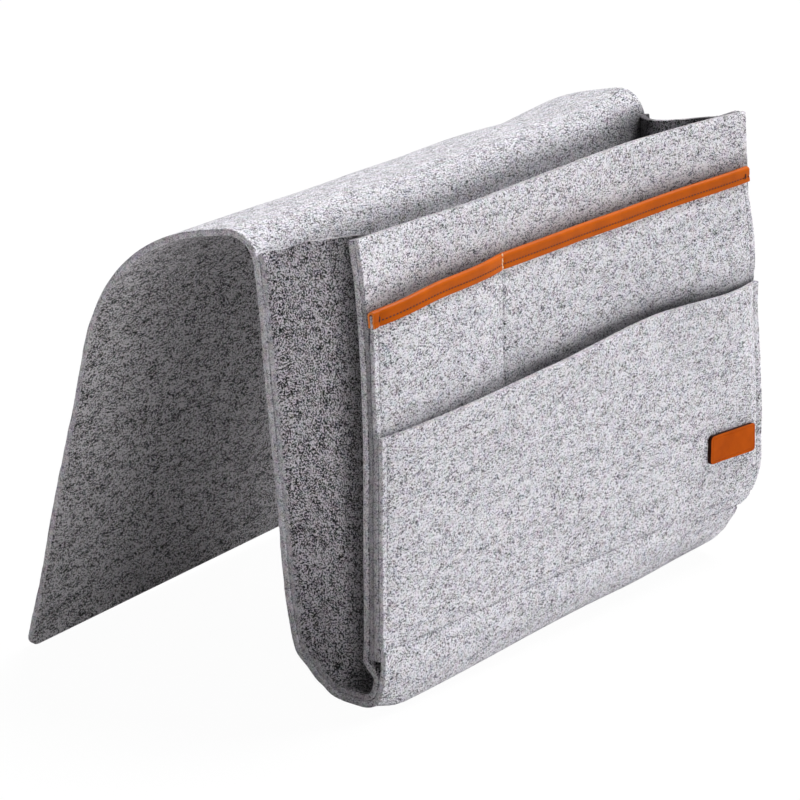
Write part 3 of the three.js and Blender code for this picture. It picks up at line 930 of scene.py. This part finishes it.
@dataclass(frozen=True)
class FrontWall:
    """The tall front wall and the felt of the upper pocket on it."""

    plan: Pattern
    stack: FrontStack
    cut: Ripple = Ripple(47, 0.22, 9, 30)

    def rows(self, x: Array, top: Array, count: int) -> list[Array]:
        """Heights of the rows of points from the lower corners to an upper edge."""
        low = self.plan.panel_bottom + np.array(WALL_ROWS)
        upper = [low[-1] + share * (top - low[-1]) for share in np.linspace(0, 1, count)[1:]]
        return [0 * x + z for z in low] + upper

    def wall_places(self) -> tuple[Array, Array]:
        """Lays out the front wall: places, and the thickness that seams leave."""
        x = self.plan.stations()
        places, press = [], []
        for z in self.rows(x, self.stack.top(x), 46):
            drawn = self.plan.drawn(x, self.plan.reach(z))
            press.append(self.stack.ply(drawn, z))
            places.append(joined(drawn, self.stack.wall(drawn, z) + self.plan.felt / 2 * press[-1], z))
        places = np.array(places)
        places[..., 0] += (0.25 + self.cut.at(places[..., 2], 0 * x)) * ease(np.abs(x), 150, 160)
        return self.plan.settled(places), np.array(press)

    def pocket_places(self) -> tuple[Array, Array]:
        """Lays out the upper pocket's felt: places, and the thickness that seams leave."""
        plan = self.plan
        x = plan.stations(plan.divider)
        mouth = plan.upper_mouth + self.stack.tilt(x)
        sewn = plan.side_sink * ridge(np.abs(x), plan.seam, 0.8)
        sewn = sewn + plan.divider_sink * ridge(x, plan.divider, 0.9)
        places, press = [], []
        for z in self.rows(x, mouth, 44):
            drawn = plan.drawn(x, plan.upper_reach(z))
            ply = self.stack.ply(drawn, z)
            places.append(joined(drawn, self.stack.upper(drawn, z) - plan.felt / 2 * ply, z))
            inside = ply - (ply - plan.bound) * ease(z - mouth, -12, -8)
            press.append(inside - sewn * ease(z, 30, 44) * ease(mouth - z, 6, 10))
        places = np.array(places)
        places[..., 0] += (self.cut.at(60 - places[..., 2], 0 * x) - 0.2) * ease(np.abs(x), 150, 160)
        return plan.settled(places), np.array(press)

    def wall_painted_shadow(self, places: Array) -> Array:
        """Painted shadow on the front wall just above and behind the leather's top edge, from 0 to 1."""
        above = places[..., 2] - self.plan.leather_high - self.stack.tilt(places[..., 0])
        return 0.17 * (1 - ease(above, 0, 13)) + 0.36 * (1 - ease(above, 0, 4))

    def pocket_painted_shadow(self, places: Array) -> Array:
        """Painted shadow just above the lower pocket's mouth, stronger right of the divider."""
        x, above = places[..., 0], places[..., 2] - self.stack.lower_edge(places[..., 0])
        strong = 0.5 + 0.5 * ease(x, self.plan.divider, self.plan.divider + 30)
        return strong * (0.24 * (1 - ease(above, 0, 12)) + 0.46 * (1 - ease(above, 0, 3.5)))

    def build(self, finishes: Finishes) -> list[Piece]:
        """Models the front wall and the upper pocket's felt."""
        plan = self.plan
        places, press = self.wall_places()
        wall = CutSheet("front_wall_felt", places, plan.felt, press, fold=self.wall_painted_shadow(places))
        wall = wall.build(finishes.felt, finishes.felt_edge)
        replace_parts(wall, "front_panel")
        places, press = self.pocket_places()
        pocket = CutSheet("upper_pocket_felt", places, plan.felt, press, fold=self.pocket_painted_shadow(places))
        pocket = pocket.build(finishes.felt, finishes.felt_edge)
        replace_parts(pocket, "upper_pocket")
        for piece in (wall, pocket):
            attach(piece, "front_wall")
        return [wall, pocket]


@dataclass(frozen=True)
class FlangeBend:
    """How a flange turns into the web: width across, depth along the web, and from 0 round to 1 creased."""

    sweep: float
    depth: float
    crease: float


@dataclass(frozen=True)
class Gusset:
    """One felt end of the main pocket: a web set back from the edges, with a flange folded out all round.

    Fields: floor_level, the height where the bottom flange begins; middle_share, where the web's middle is,
    from 0 at the front to 1 at the back; settle, the degrees over which the flange leaves the front wall's
    foot; and the bends of the front and the back flange.
    """

    plan: Pattern
    stack: FrontStack
    strip: FoldedStrip
    side: Side
    floor_level: float = 27.0
    middle_share: float = 0.42
    settle: float = 26.0
    front_bend: FlangeBend = FlangeBend(2.6, 2.4, 0.3)
    back_bend: FlangeBend = FlangeBend(6.2, 13.0, 0.0)
    ripple: Ripple = Ripple(59, 0.3, 40, 110)

    def rim_height(self, y: Array) -> Array:
        """Height of the gusset's upper edge, falling from the front wall to the back wall."""
        knots = ((0, 231.8), (9, 230.4), (42, 223.9), (52, 219.4), (66, 216.4))
        if self.side is Side.RIGHT:
            falls = ((0, 232.2), (11, 230.4), (28, 226.6), (42, 224.3))
            knots = falls + ((50, 223.4), (55, 223.3), (60, 223.8), (66, 224.6))
        return through(np.asarray(y, float) - self.plan.wall_face, knots)

    def web_at(self, share: Array) -> Array:
        """How far out the web's middle surface is: deep set at the front, shallow at the back."""
        slope = through(share, ((0, -6.0), (0.2, -4.4), (0.45, -1.5), (0.7, 0.8), (1, 3.0)))
        return self.plan.web + self.plan.felt / 2 + slope

    def tip(self, drawn: float) -> float:
        """How far out the flange's edge is, where the strip's right end is drawn in by that much."""
        return self.plan.half - 0.3 - (drawn if self.side is Side.RIGHT else 0.0)

    def front_line(self, z: float) -> float:
        """The front flange's middle surface, behind the front wall."""
        x = self.side.value * (self.plan.half - 5)
        behind = self.plan.felt * (self.stack.ply(x, z) + 0.5)
        return float(self.stack.wall(x, z) + behind) + self.plan.ply_gap

    def back_line(self, z: float) -> float:
        """The back flange's middle surface, in front of the back wall and round the foot of the crest."""
        plan = self.plan
        top, radius = self.strip.crest(self.side.value * plan.half)
        above = min(max(z - top + radius, 0.0), radius * 0.95)
        round_off = radius - math.sqrt(radius**2 - above**2)
        return plan.rear(z) + round_off - (plan.felt * 1.5 + plan.ply_gap) / math.cos(math.radians(plan.lean))

    def section(self, tip: float, share: float, bend: FlangeBend, length: float) -> tuple[Array, Array]:
        """Lays out one section from the flange's edge to the middle of the web.

        Args:
            tip: How far the flange's edge is from the caddy's middle.
            share: Where on the web the section starts, from 0 at the front to 1 at the back.
            bend: How the flange turns into the web.
            length: Distance from the flange to the web's middle.

        Returns:
            Places across the caddy, and distances from the flange.
        """
        rest = bend.depth + (length - bend.depth) * np.linspace(0, 1, 9)
        line = self.web_at(share + (self.middle_share - share) * rest / length)
        web = float(line[0])
        sweep = min(bend.sweep, tip - web - 0.4)
        lead = np.linspace(tip, web + sweep, 5)[:-1]
        angle = np.radians(np.linspace(0, 90, 11))
        even = np.linspace(0, 1, 11)
        across = web + sweep * ((1 - bend.crease) * (1 - np.sin(angle)) + bend.crease * (1 - even))
        inward = bend.depth * ((1 - bend.crease) * (1 - np.cos(angle)) + bend.crease * even)
        return np.concatenate([lead, across, line[1:]]), np.concatenate([0 * lead, inward, rest[1:]])

    def upright(self, t: float, front: bool) -> Array:
        """Lays out one row of an upright flange, which follows the slope of the upper edge.

        Args:
            t: Place along the flange, from 0 at the top to 1 at the bottom bend.
            front: Whether it is the front flange.

        Returns:
            The row's points, from the flange's edge to the web's middle.
        """
        line, level = self.front_line if front else self.back_line, self.floor_level
        height = float(self.rim_height(line(220.0))) * (1 - t) + level * t
        y_here, y_front, y_back = line(height), self.front_line(height), self.back_line(height)
        middle = y_front + self.middle_share * (y_back - y_front)
        tip = self.tip(float(self.plan.half - self.plan.reach(height)) if front else 0.0)
        bend = self.front_bend if front else self.back_bend
        across, inward = self.section(tip, 0.0 if front else 1.0, bend, abs(middle - y_here))
        y = y_here + inward if front else y_here - inward
        return joined(across, y, self.rim_height(y) * (1 - t) + level * t)

    def around(self, y: float, z: float, t: float) -> Array:
        """Lays out one row of the bottom flange, which runs towards the web's middle.

        Args:
            y: The flange's place from front to back.
            z: The flange's height.
            t: Place along the bottom flange, from 0 at the front to 1 at the back.

        Returns:
            The row's points, from the flange's edge to the web's middle.
        """
        y_front, y_back = self.front_line(self.floor_level), self.back_line(self.floor_level)
        way = np.array([y_front + self.middle_share * (y_back - y_front) - y, self.floor_level - z])
        length = float(np.linalg.norm(way))
        bend = FlangeBend(
            float(through(t, ((0, 2.6), (0.4, 8.0), (1, 6.2)))),
            float(through(t, ((0, 2.4), (0.2, 4.0), (0.45, 10.0), (0.75, 11.0), (1, 13.0)))),
            float(through(t, ((0, 0.3), (0.4, 0.85), (0.75, 0.6), (1, 0)))),
        )
        tip = self.tip(self.plan.notch * float(1 - ease(t, 0.45, 0.8)))
        share = min(max((y - y_front) / (y_back - y_front), 0.0), 1.0)
        across, inward = self.section(tip, share, bend, length)
        return joined(across, y + inward * way[0] / length, z + inward * way[1] / length)

    def route(self) -> list[tuple[float, float]]:
        """The bottom flange's y and z, from the front wall's foot round the bottom to the back wall's."""
        plan = self.plan
        radius = plan.bend - plan.felt * 1.5 - plan.ply_gap
        y_low, settle = self.front_line(self.floor_level), math.radians(self.settle)
        angles = [*np.linspace(0, settle, 9)[1:], *np.linspace(settle, math.pi / 2, 10)[1:]]
        route = []
        for angle in angles:
            y = plan.front_centre - radius * math.cos(angle)
            if angle <= settle:
                y = y_low + (y - y_low) * float(ease(angle, 0, settle))
            route.append((y, plan.bend - radius * math.sin(angle)))
        for angle in np.linspace(0, math.pi / 2 - math.radians(plan.lean), 18)[1:-1]:
            route.append((plan.back_centre + radius * math.sin(angle), plan.bend - radius * math.cos(angle)))
        return route

    def places(self) -> Array:
        """Lays out the gusset, along its flange from the front's top, round the bottom, to the back's top."""
        heights = np.concatenate([[0, 0.012, 0.03], np.linspace(0.06, 1, 40)])
        route = self.route()
        rows = [self.upright(t, True) for t in heights]
        rows += [self.around(y, z, (n + 1) / (len(route) + 1)) for n, (y, z) in enumerate(route)]
        rows += [self.upright(t, False) for t in heights[::-1]]
        places = np.array(rows)
        wave = self.ripple.at(places[..., 1], places[..., 2]) * ease(places[..., 0], 160, 152)
        places[..., 0] = self.side.value * (places[..., 0] + wave)
        return self.plan.settled(places)

    def gusset_painted_shade(self, places: Array) -> Array:
        """Painted shade: near the front's crease, towards the bottom, and at the right end's back corner."""
        behind = places[..., 1] - (self.plan.wall_face + 2 * self.plan.felt)
        deep = 0.76 * (1 - ease(behind, 8, 24)) * ease(self.plan.half - np.abs(places[..., 0]), 2, 6)
        deep = np.maximum(deep, 0.3 * (1 - ease(places[..., 2], 20, 130)))
        if self.side is Side.RIGHT:
            deep = np.maximum(deep, 0.85 * ease(behind, 32, 46))
        return deep

    def build(self, finishes: Finishes) -> Piece:
        """Models the gusset."""
        places = self.places()
        name = f"gusset_felt_{self.side.word}"
        piece = CutSheet(name, places, self.plan.felt, weld=True, fold=self.gusset_painted_shade(places))
        piece = piece.build(finishes.felt_gusset_painted_shade, finishes.felt_edge)
        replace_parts(piece, f"gusset_{self.side.word}")
        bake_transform(piece)
        return piece


@dataclass(frozen=True)
class LeatherTrim:
    """The leather strip folded over the upper pocket's mouth, and the bare leather label."""

    plan: Pattern
    stack: FrontStack
    thickness: float = 1.1
    over_end: float = 0.5
    stitch_rise: float = 2.7
    label_thickness: float = 2.2
    label_corner: float = 2.4
    label_line: float = 1.5

    def fold(self) -> float:
        """Radius of the leather's middle where it goes over the felt's edge."""
        return self.plan.felt * self.plan.bound / 2 + 0.1 + self.thickness / 2

    def middle(self, x: Array, z: Array) -> Array:
        """Middle of the felt inside the leather."""
        return self.stack.upper(x, z) - self.plan.felt / 2

    def level(self, x: Array, drop: Array) -> Array:
        """Height of a place on the leather, from its height above the lower edge."""
        return self.plan.leather_low + drop + self.stack.tilt(x)

    def pinch(self, x: Array, drop: Array) -> Array:
        """How far the seams draw the leather in, at a height above its lower edge."""
        line = 0.35 * ridge(drop, self.stitch_rise, 0.7)
        return line + 0.7 * ridge(x, self.plan.divider, 1.1) + 0.45 * ridge(np.abs(x), self.plan.seam, 0.9)

    def places(self) -> Array:
        """Lays out the folded strip, from its lower edge behind the felt to its lower edge in front."""
        plan, radius = self.plan, self.fold()
        x = plan.stations(plan.divider)
        right = float(plan.upper_reach(plan.upper_mouth)) + self.over_end
        x = np.where(x > 0, x * right, x * (plan.half + self.over_end)) / plan.half
        leg = np.linspace(0, plan.upper_mouth - plan.leather_low, 12)
        rows = []
        for drop in leg:
            z = self.level(x, drop)
            rows.append(joined(x, self.middle(x, z) + radius - 0.4 * self.pinch(x, drop), z))
        top = plan.upper_mouth + self.stack.tilt(x)
        for angle in np.radians(np.linspace(0, 180, 13))[1:-1]:
            flat = radius - 0.6 * self.pinch(x, 20.0 + 0 * x) * math.sin(angle)
            y = self.middle(x, top) + radius * math.cos(angle)
            rows.append(joined(x, y, top + flat * math.sin(angle)))
        for drop in leg[::-1]:
            z = self.level(x, drop)
            rows.append(joined(x, self.middle(x, z) - radius + self.pinch(x, drop), z))
        return plan.settled(np.array(rows))

    def face(self, x: Array, drop: Array) -> Array:
        """The leather's front face at a height above its lower edge, for the stitches on it."""
        middle = self.middle(x, self.level(x, drop))
        return middle - self.fold() + self.pinch(x, drop) - self.thickness / 2

    def label_steps(self, half: float, count: int) -> Array:
        """Places of the label's rows of points along one side, close together at both ends."""
        step = np.array([0, 0.3, 0.7, 1.1, 1.3, 1.5, 1.7, 1.9, self.label_corner])
        field = np.linspace(self.label_corner - half, half - self.label_corner, count)[1:-1]
        return np.concatenate([step - half, field, half - step[::-1]])

    def label_places(self) -> tuple[Array, Array]:
        """Lays out the label: places, and the thickness left by the line pressed in along its edges."""
        low, high = span("leather_label")
        half_x, half_z = (high[0] - low[0]) / 2, (high[2] - low[2]) / 2
        corner = self.label_corner
        rows, press = [], []
        for height in self.label_steps(half_z, 6):
            inside = np.clip(corner - (half_z - abs(height)), 0, None)
            reach = half_x - corner + math.sqrt(max(corner**2 - inside**2, 0))
            x = self.label_steps(reach, 12)
            place = (low[0] + high[0]) / 2 + x
            z = (low[2] + high[2]) / 2 + height + 0 * x
            y = self.stack.lower(place, z) - self.plan.felt - 0.1 - self.label_thickness / 2
            rows.append(joined(place, y, z))
            inset = np.minimum(half_z - abs(height), reach - np.abs(x))
            press.append(1 - 0.3 * ridge(inset, self.label_line, 0.25))
        return np.array(rows), np.array(press)

    def build(self, finishes: Finishes) -> list[Piece]:
        """Models the folded strip and the label."""
        strip = CutSheet("leather_edge_strip", self.places(), self.thickness, edge=0.25)
        strip = strip.build(finishes.leather, finishes.leather_edge)
        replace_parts(strip, "leather_binding")
        places, press = self.label_places()
        label = CutSheet("leather_tab", places, self.label_thickness, press, edge=0.3)
        label = label.build(finishes.label, finishes.label_edge)
        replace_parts(label, "leather_label")
        for piece in (strip, label):
            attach(piece, "front_wall")
        return [strip, label]


@dataclass(frozen=True)
class Stitch:
    """One stitch: a short swell of thread that dips into the work at both ends."""

    length: float
    width: float
    height: float

    def modelled(self) -> tuple[Array, list[tuple[int, ...]]]:
        """Models one stitch at the origin, along x.

        Returns:
            Its points in millimetres, and its faces.
        """
        bpy.ops.object.select_all(action="DESELECT")
        bpy.ops.mesh.primitive_uv_sphere_add(segments=8, ring_count=6, radius=0.5)
        piece = bpy.context.active_object
        with whole_mesh():
            bpy.ops.transform.rotate(value=math.pi / 2, orient_axis="Y", center_override=(0, 0, 0))
            bpy.ops.transform.resize(value=(self.length, self.width, self.height), center_override=(0, 0, 0))
        mesh = piece.data
        points = np.array([vertex.co for vertex in mesh.vertices])
        faces = [tuple(face.vertices) for face in mesh.polygons]
        bpy.data.objects.remove(piece)
        bpy.data.meshes.remove(mesh)
        return points, faces


@dataclass
class SeamRow:
    """A row of stitches along one seam, as one piece.

    Fields: name; places of the stitches; the way each lies; the way all face; the stitch; the thread of each.
    """

    name: str
    places: Array
    along: Array
    facing: tuple[float, float, float]
    stitch: Stitch
    threads: list[Thread]

    def build(self, finishes: Finishes) -> Piece:
        """Copies the stitch to each place."""
        points, faces = self.stitch.modelled()
        facing = np.broadcast_to(self.facing, self.places.shape)
        axes = np.stack([self.along, np.cross(facing, self.along), facing], axis=1)
        axes /= np.linalg.norm(axes, axis=2, keepdims=True)
        all_points = (self.places[:, None, :] + points[None] @ axes) * METRES
        count = len(points)
        all_faces = [tuple(i + count * n for i in face) for n in range(len(self.places)) for face in faces]
        mesh = bpy.data.meshes.new(self.name)
        mesh.from_pydata(all_points.reshape(-1, 3).tolist(), [], all_faces)
        used = sorted(set(self.threads), key=lambda thread: thread.value)
        for thread in used:
            mesh.materials.append(finishes.threads[thread])
        index = [used.index(thread) for thread in self.threads for _ in faces]
        mesh.polygons.foreach_set("material_index", index)
        piece = bpy.data.objects.new(self.name, mesh)
        bpy.context.scene.collection.objects.link(piece)
        alone(piece)
        bpy.ops.object.shade_smooth()
        return piece


@dataclass(frozen=True)
class Sewing:
    """Every visible seam of the caddy."""

    plan: Pattern
    stack: FrontStack
    trim: LeatherTrim
    leather_pitch: float = 2.4
    felt_pitch: float = 3.2

    def leather_rows(self, finishes: Finishes) -> list[Piece]:
        """Sews the dark seams along the leather, left and right of the divider."""
        plan, drop, made = self.plan, self.trim.stitch_rise, []
        spans = (("left", -plan.seam + 2, plan.divider - 1.6), ("right", plan.divider + 2.0, plan.seam - 2))
        for end, start, stop in spans:
            x = np.linspace(start, stop, round((stop - start) / self.leather_pitch) + 1)
            places = joined(x, self.trim.face(x, drop) - 0.05, self.trim.level(x, drop))
            along, threads = np.gradient(places, axis=0), [Thread.BROWN] * len(x)
            row = SeamRow(f"leather_stitches_{end}", places, along, FORWARD, Stitch(1.6, 0.8, 0.6), threads)
            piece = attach(row.build(finishes), "front_wall")
            made.append(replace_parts(piece, f"binding_seam_{end}"))
        return made

    def upright_row(self, name: str, x: float, low: float, leather_count: int) -> SeamRow:
        """Plans an upright seam on the pockets, which goes on over the leather in a thread that suits it.

        Args:
            name: The row's name.
            x: Where the seam is.
            low: Height of its lower end.
            leather_count: Number of stitches on the leather.

        Returns:
            The planned row.
        """
        plan, stack = self.plan, self.stack
        edge = float(stack.lower_edge(x))
        base = plan.leather_low + float(stack.tilt(x))
        height = plan.upper_mouth - plan.leather_low
        sink, first, last, thread = plan.side_sink, 2.7, height - 2.0, Thread.BROWN
        if x == plan.divider:
            sink, first, last, thread = plan.divider_sink, 1.2, height + 1.2, Thread.CREAM
        lower = np.arange(low, edge - 1.5, self.felt_pitch) if low < edge else np.array([])
        upper = np.arange(max(edge, low) + 2.5, base - 0.6, self.felt_pitch)
        places = []
        layers = ((stack.lower, plan.reach, lower), (stack.upper, plan.upper_reach, upper))
        for face, reach, heights in layers:
            for z in heights:
                drawn = float(plan.drawn(x, reach(z)))
                ply = float(stack.ply(drawn, z))
                places.append((drawn, float(face(drawn, z)) - plan.felt * (ply - sink / 2 + 0.01), z))
        threads = [Thread.GREY] * len(places) + [thread] * leather_count
        drawn = float(plan.drawn(x, plan.upper_reach(plan.upper_mouth)))
        for drop in np.linspace(first, last, leather_count):
            places.append((drawn, float(self.trim.face(drawn, min(drop, height))) - 0.2, base + drop))
        places = plan.settled(np.array(places))
        along = np.broadcast_to(UPWARD, places.shape)
        return SeamRow(name, places, along, FORWARD, Stitch(1.9, 1.0, 0.8), threads)

    def pocket_rows(self, finishes: Finishes) -> list[Piece]:
        """Sews the divider and both front edges."""
        plan, made = self.plan, []
        plans = (
            ("divider_stitches", plan.divider, plan.lower_mouth, 5, "divider_seam"),
            ("side_stitches_left", -plan.seam, 44.0, 3, "side_seam_left"),
            ("side_stitches_right", plan.seam, 44.0, 3, "side_seam_right"),
        )
        for name, x, low, count, node in plans:
            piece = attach(self.upright_row(name, x, low, count).build(finishes), "front_wall")
            made.append(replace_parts(piece, node))
        return made

    def base_row(self, finishes: Finishes) -> Piece:
        """Sews all front layers together above the bottom bend."""
        plan = self.plan
        left, right = 3 - plan.half, float(plan.reach(plan.base_seam)) - 3
        x = np.linspace(left, right, round((right - left) / self.felt_pitch) + 1)
        z = 0 * x + plan.base_seam
        y = self.stack.lower(x, z) - plan.felt * (self.stack.ply(x, z) - plan.base_sink / 2)
        places = plan.settled(joined(x, y, z))
        along, threads = np.gradient(places, axis=0), [Thread.GREY] * len(x)
        row = SeamRow("base_stitches", places, along, FORWARD, Stitch(2.2, 0.7, 0.5), threads)
        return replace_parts(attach(row.build(finishes), "front_wall"), "pocket_base_seam")

    def back_rows(self, finishes: Finishes) -> list[Piece]:
        """Sews the gussets' back flanges to the back wall."""
        plan, made = self.plan, []
        lean = math.radians(plan.lean)
        outward = (0.0, math.cos(lean), -math.sin(lean))
        for side in Side:
            low, high = span(f"back_seam_{side.word}")
            z = np.arange(low[2], high[2], self.felt_pitch)
            x = 0 * z + side.value * plan.seam
            places = plan.settled(joined(x, plan.rear(z) + 0.05, z))
            along, threads = np.gradient(places, axis=0), [Thread.GREY] * len(z)
            name = f"back_stitches_{side.word}"
            row = SeamRow(name, places, along, outward, Stitch(2.2, 0.8, 0.6), threads)
            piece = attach(row.build(finishes), "back_wall")
            made.append(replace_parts(piece, f"back_seam_{side.word}"))
        return made

    def build(self, finishes: Finishes) -> list[Piece]:
        """Sews every seam and returns its rows."""
        rows = self.leather_rows(finishes) + self.pocket_rows(finishes)
        return [*rows, self.base_row(finishes), *self.back_rows(finishes)]


@dataclass(frozen=True)
class PhotoCamera:
    """The camera that took the photograph, fitted to it: angles in degrees, lengths in mm and pixels."""

    azimuth: float = -53.28
    elevation: float = 15.36
    roll: float = -1.29
    distance: float = 2563.68
    focal: float = 5115.81
    centre: tuple[float, float] = (417.42, 368.64)
    image: float = 800.0
    target: tuple[float, float, float] = (0.0, -9.7486, 120.0)

    def build(self) -> None:
        """Places the camera and makes it the scene's."""
        turn, rise, roll = (math.radians(angle) for angle in (self.azimuth, self.elevation, self.roll))
        right = Vector((math.cos(turn), math.sin(turn), 0))
        back = Vector((math.sin(turn) * math.cos(rise), -math.cos(turn) * math.cos(rise), math.sin(rise)))
        up = back.cross(right)
        across = math.cos(roll) * right + math.sin(roll) * up
        upward = -math.sin(roll) * right + math.cos(roll) * up
        data = bpy.data.cameras.new("photo_camera")
        data.sensor_width = 36.0
        data.lens = self.focal * data.sensor_width / self.image
        data.shift_x = (self.image / 2 - self.centre[0]) / self.image
        data.shift_y = (self.centre[1] - self.image / 2) / self.image
        camera = bpy.data.objects.new("photo_camera", data)
        bpy.context.scene.collection.objects.link(camera)
        place = (Vector(self.target) + self.distance * back) * METRES
        camera.matrix_world = Matrix.Translation(place) @ Matrix((across, upward, back)).transposed().to_4x4()
        bpy.context.scene.camera = camera


@dataclass(frozen=True)
class Lamp:
    """One broad soft lamp, far away: its name, strength, the way it shines from, and its width in degrees."""

    name: str
    strength: float
    shines_from: tuple[float, float, float]
    width: float

    def hang(self) -> None:
        """Adds the lamp to the scene."""
        data = bpy.data.lights.new(self.name, "SUN")
        data.energy = self.strength
        data.angle = math.radians(self.width)
        lamp = bpy.data.objects.new(self.name, data)
        bpy.context.scene.collection.objects.link(lamp)
        lamp.rotation_mode = "QUATERNION"
        lamp.rotation_quaternion = Vector(self.shines_from).to_track_quat("Z", "Y")


@dataclass(frozen=True)
class Studio:
    """A white floor and backdrop, a broad lamp above, a weak low one at the front left, and faint light."""

    lamps: tuple[Lamp, ...] = (
        Lamp("top_lamp", 4.5, (0.52, -0.11, 0.845), 30.0),
        Lamp("low_lamp", 0.78, (-0.32, -0.945, 0.03), 26.0),
    )
    ambient: float = 0.23
    bounce: tuple[str, str] = ("#E8E8E8", "#F2F2F2")
    shadow: float = 0.03

    def shown(self, tree: bpy.types.NodeTree, lit: Socket, looked_at: Socket) -> Socket:
        """Mixes what lights the caddy with what is looked at, directly or in gloss or glass."""
        path = add_node(tree, "LightPath").outputs
        most = {"operation": "MAXIMUM"}
        gloss = add_node(tree, "Math", most, {0: path["Is Camera Ray"], 1: path["Is Glossy Ray"]}).outputs[0]
        seen = add_node(tree, "Math", most, {0: gloss, 1: path["Is Transmission Ray"]}).outputs[0]
        return add_node(tree, "MixShader", inputs={0: seen, 1: lit, 2: looked_at}).outputs[0]

    def floor(self) -> None:
        """Lays the floor, white where it is lit and keeping a light shadow."""
        bpy.ops.object.select_all(action="DESELECT")
        bpy.ops.mesh.primitive_plane_add(size=12)
        floor = bpy.context.active_object
        floor.name = floor.data.name = "floor"
        floor.data.transform(Matrix.Translation((0, 0, -0.0002)))
        nodes = MaterialTree("studio_paper")
        tree = nodes.tree
        paper = add_node(tree, "BsdfDiffuse", inputs={"Color": linear("#F4F4F4")})
        glow = add_node(tree, "Emission", inputs={"Color": (1, 1, 1, 1), "Strength": 1.0})
        white = add_node(tree, "MixShader", inputs={0: self.shadow, 1: glow.outputs[0], 2: paper.outputs[0]})
        # The paper sends a little less light back behind the caddy than in front of it.
        ways = {0: nodes.place(), 1: (0.25, -0.97, 0.0)}
        way = add_node(tree, "VectorMath", {"operation": "DOT_PRODUCT"}, ways).outputs["Value"]
        tint = nodes.mixed(nodes.spread(way, (0.0, 0.14)), linear(self.bounce[0]), linear(self.bounce[1]))
        dim = add_node(tree, "BsdfDiffuse", inputs={"Color": tint})
        surface = self.shown(tree, dim.outputs[0], white.outputs[0])
        add_node(tree, "OutputMaterial", inputs={"Surface": surface})
        floor.data.materials.append(nodes.material)

    def light(self) -> None:
        """Hangs the lamps and sets the light from all round."""
        for lamp in self.lamps:
            lamp.hang()
        world = bpy.data.worlds.new("studio")
        bpy.context.scene.world = world
        world.use_nodes = True
        tree = world.node_tree
        tree.nodes.clear()
        soft = add_node(tree, "Background", inputs={"Color": (1, 1, 1, 1), "Strength": self.ambient})
        white = add_node(tree, "Background", inputs={"Color": (1, 1, 1, 1), "Strength": 1.0})
        add_node(tree, "OutputWorld", inputs={"Surface": self.shown(tree, soft.outputs[0], white.outputs[0])})


def main() -> None:
    """Builds the caddy piece by piece, then the studio round it."""
    logging.basicConfig(level=logging.INFO, format="%(name)s: %(message)s")
    plan = Pattern.measured()
    stack = FrontStack(plan)
    finishes = Finishes()
    strip = FoldedStrip(plan, stack)
    trim = LeatherTrim(plan, stack)
    PhotoCamera().build()
    studio = Studio()
    studio.floor()
    studio.light()
    felt = strip.build(finishes) + FrontWall(plan, stack).build(finishes)
    felt += [Gusset(plan, stack, strip, side).build(finishes) for side in Side]
    pieces = felt + trim.build(finishes) + Sewing(plan, stack, trim).build(finishes)
    for piece in pieces:
        LOG.info("%s: %d faces", piece.name, len(piece.data.polygons))
    bpy.context.scene.view_settings.view_transform = "Standard"


if __name__ == "__main__":
    main()
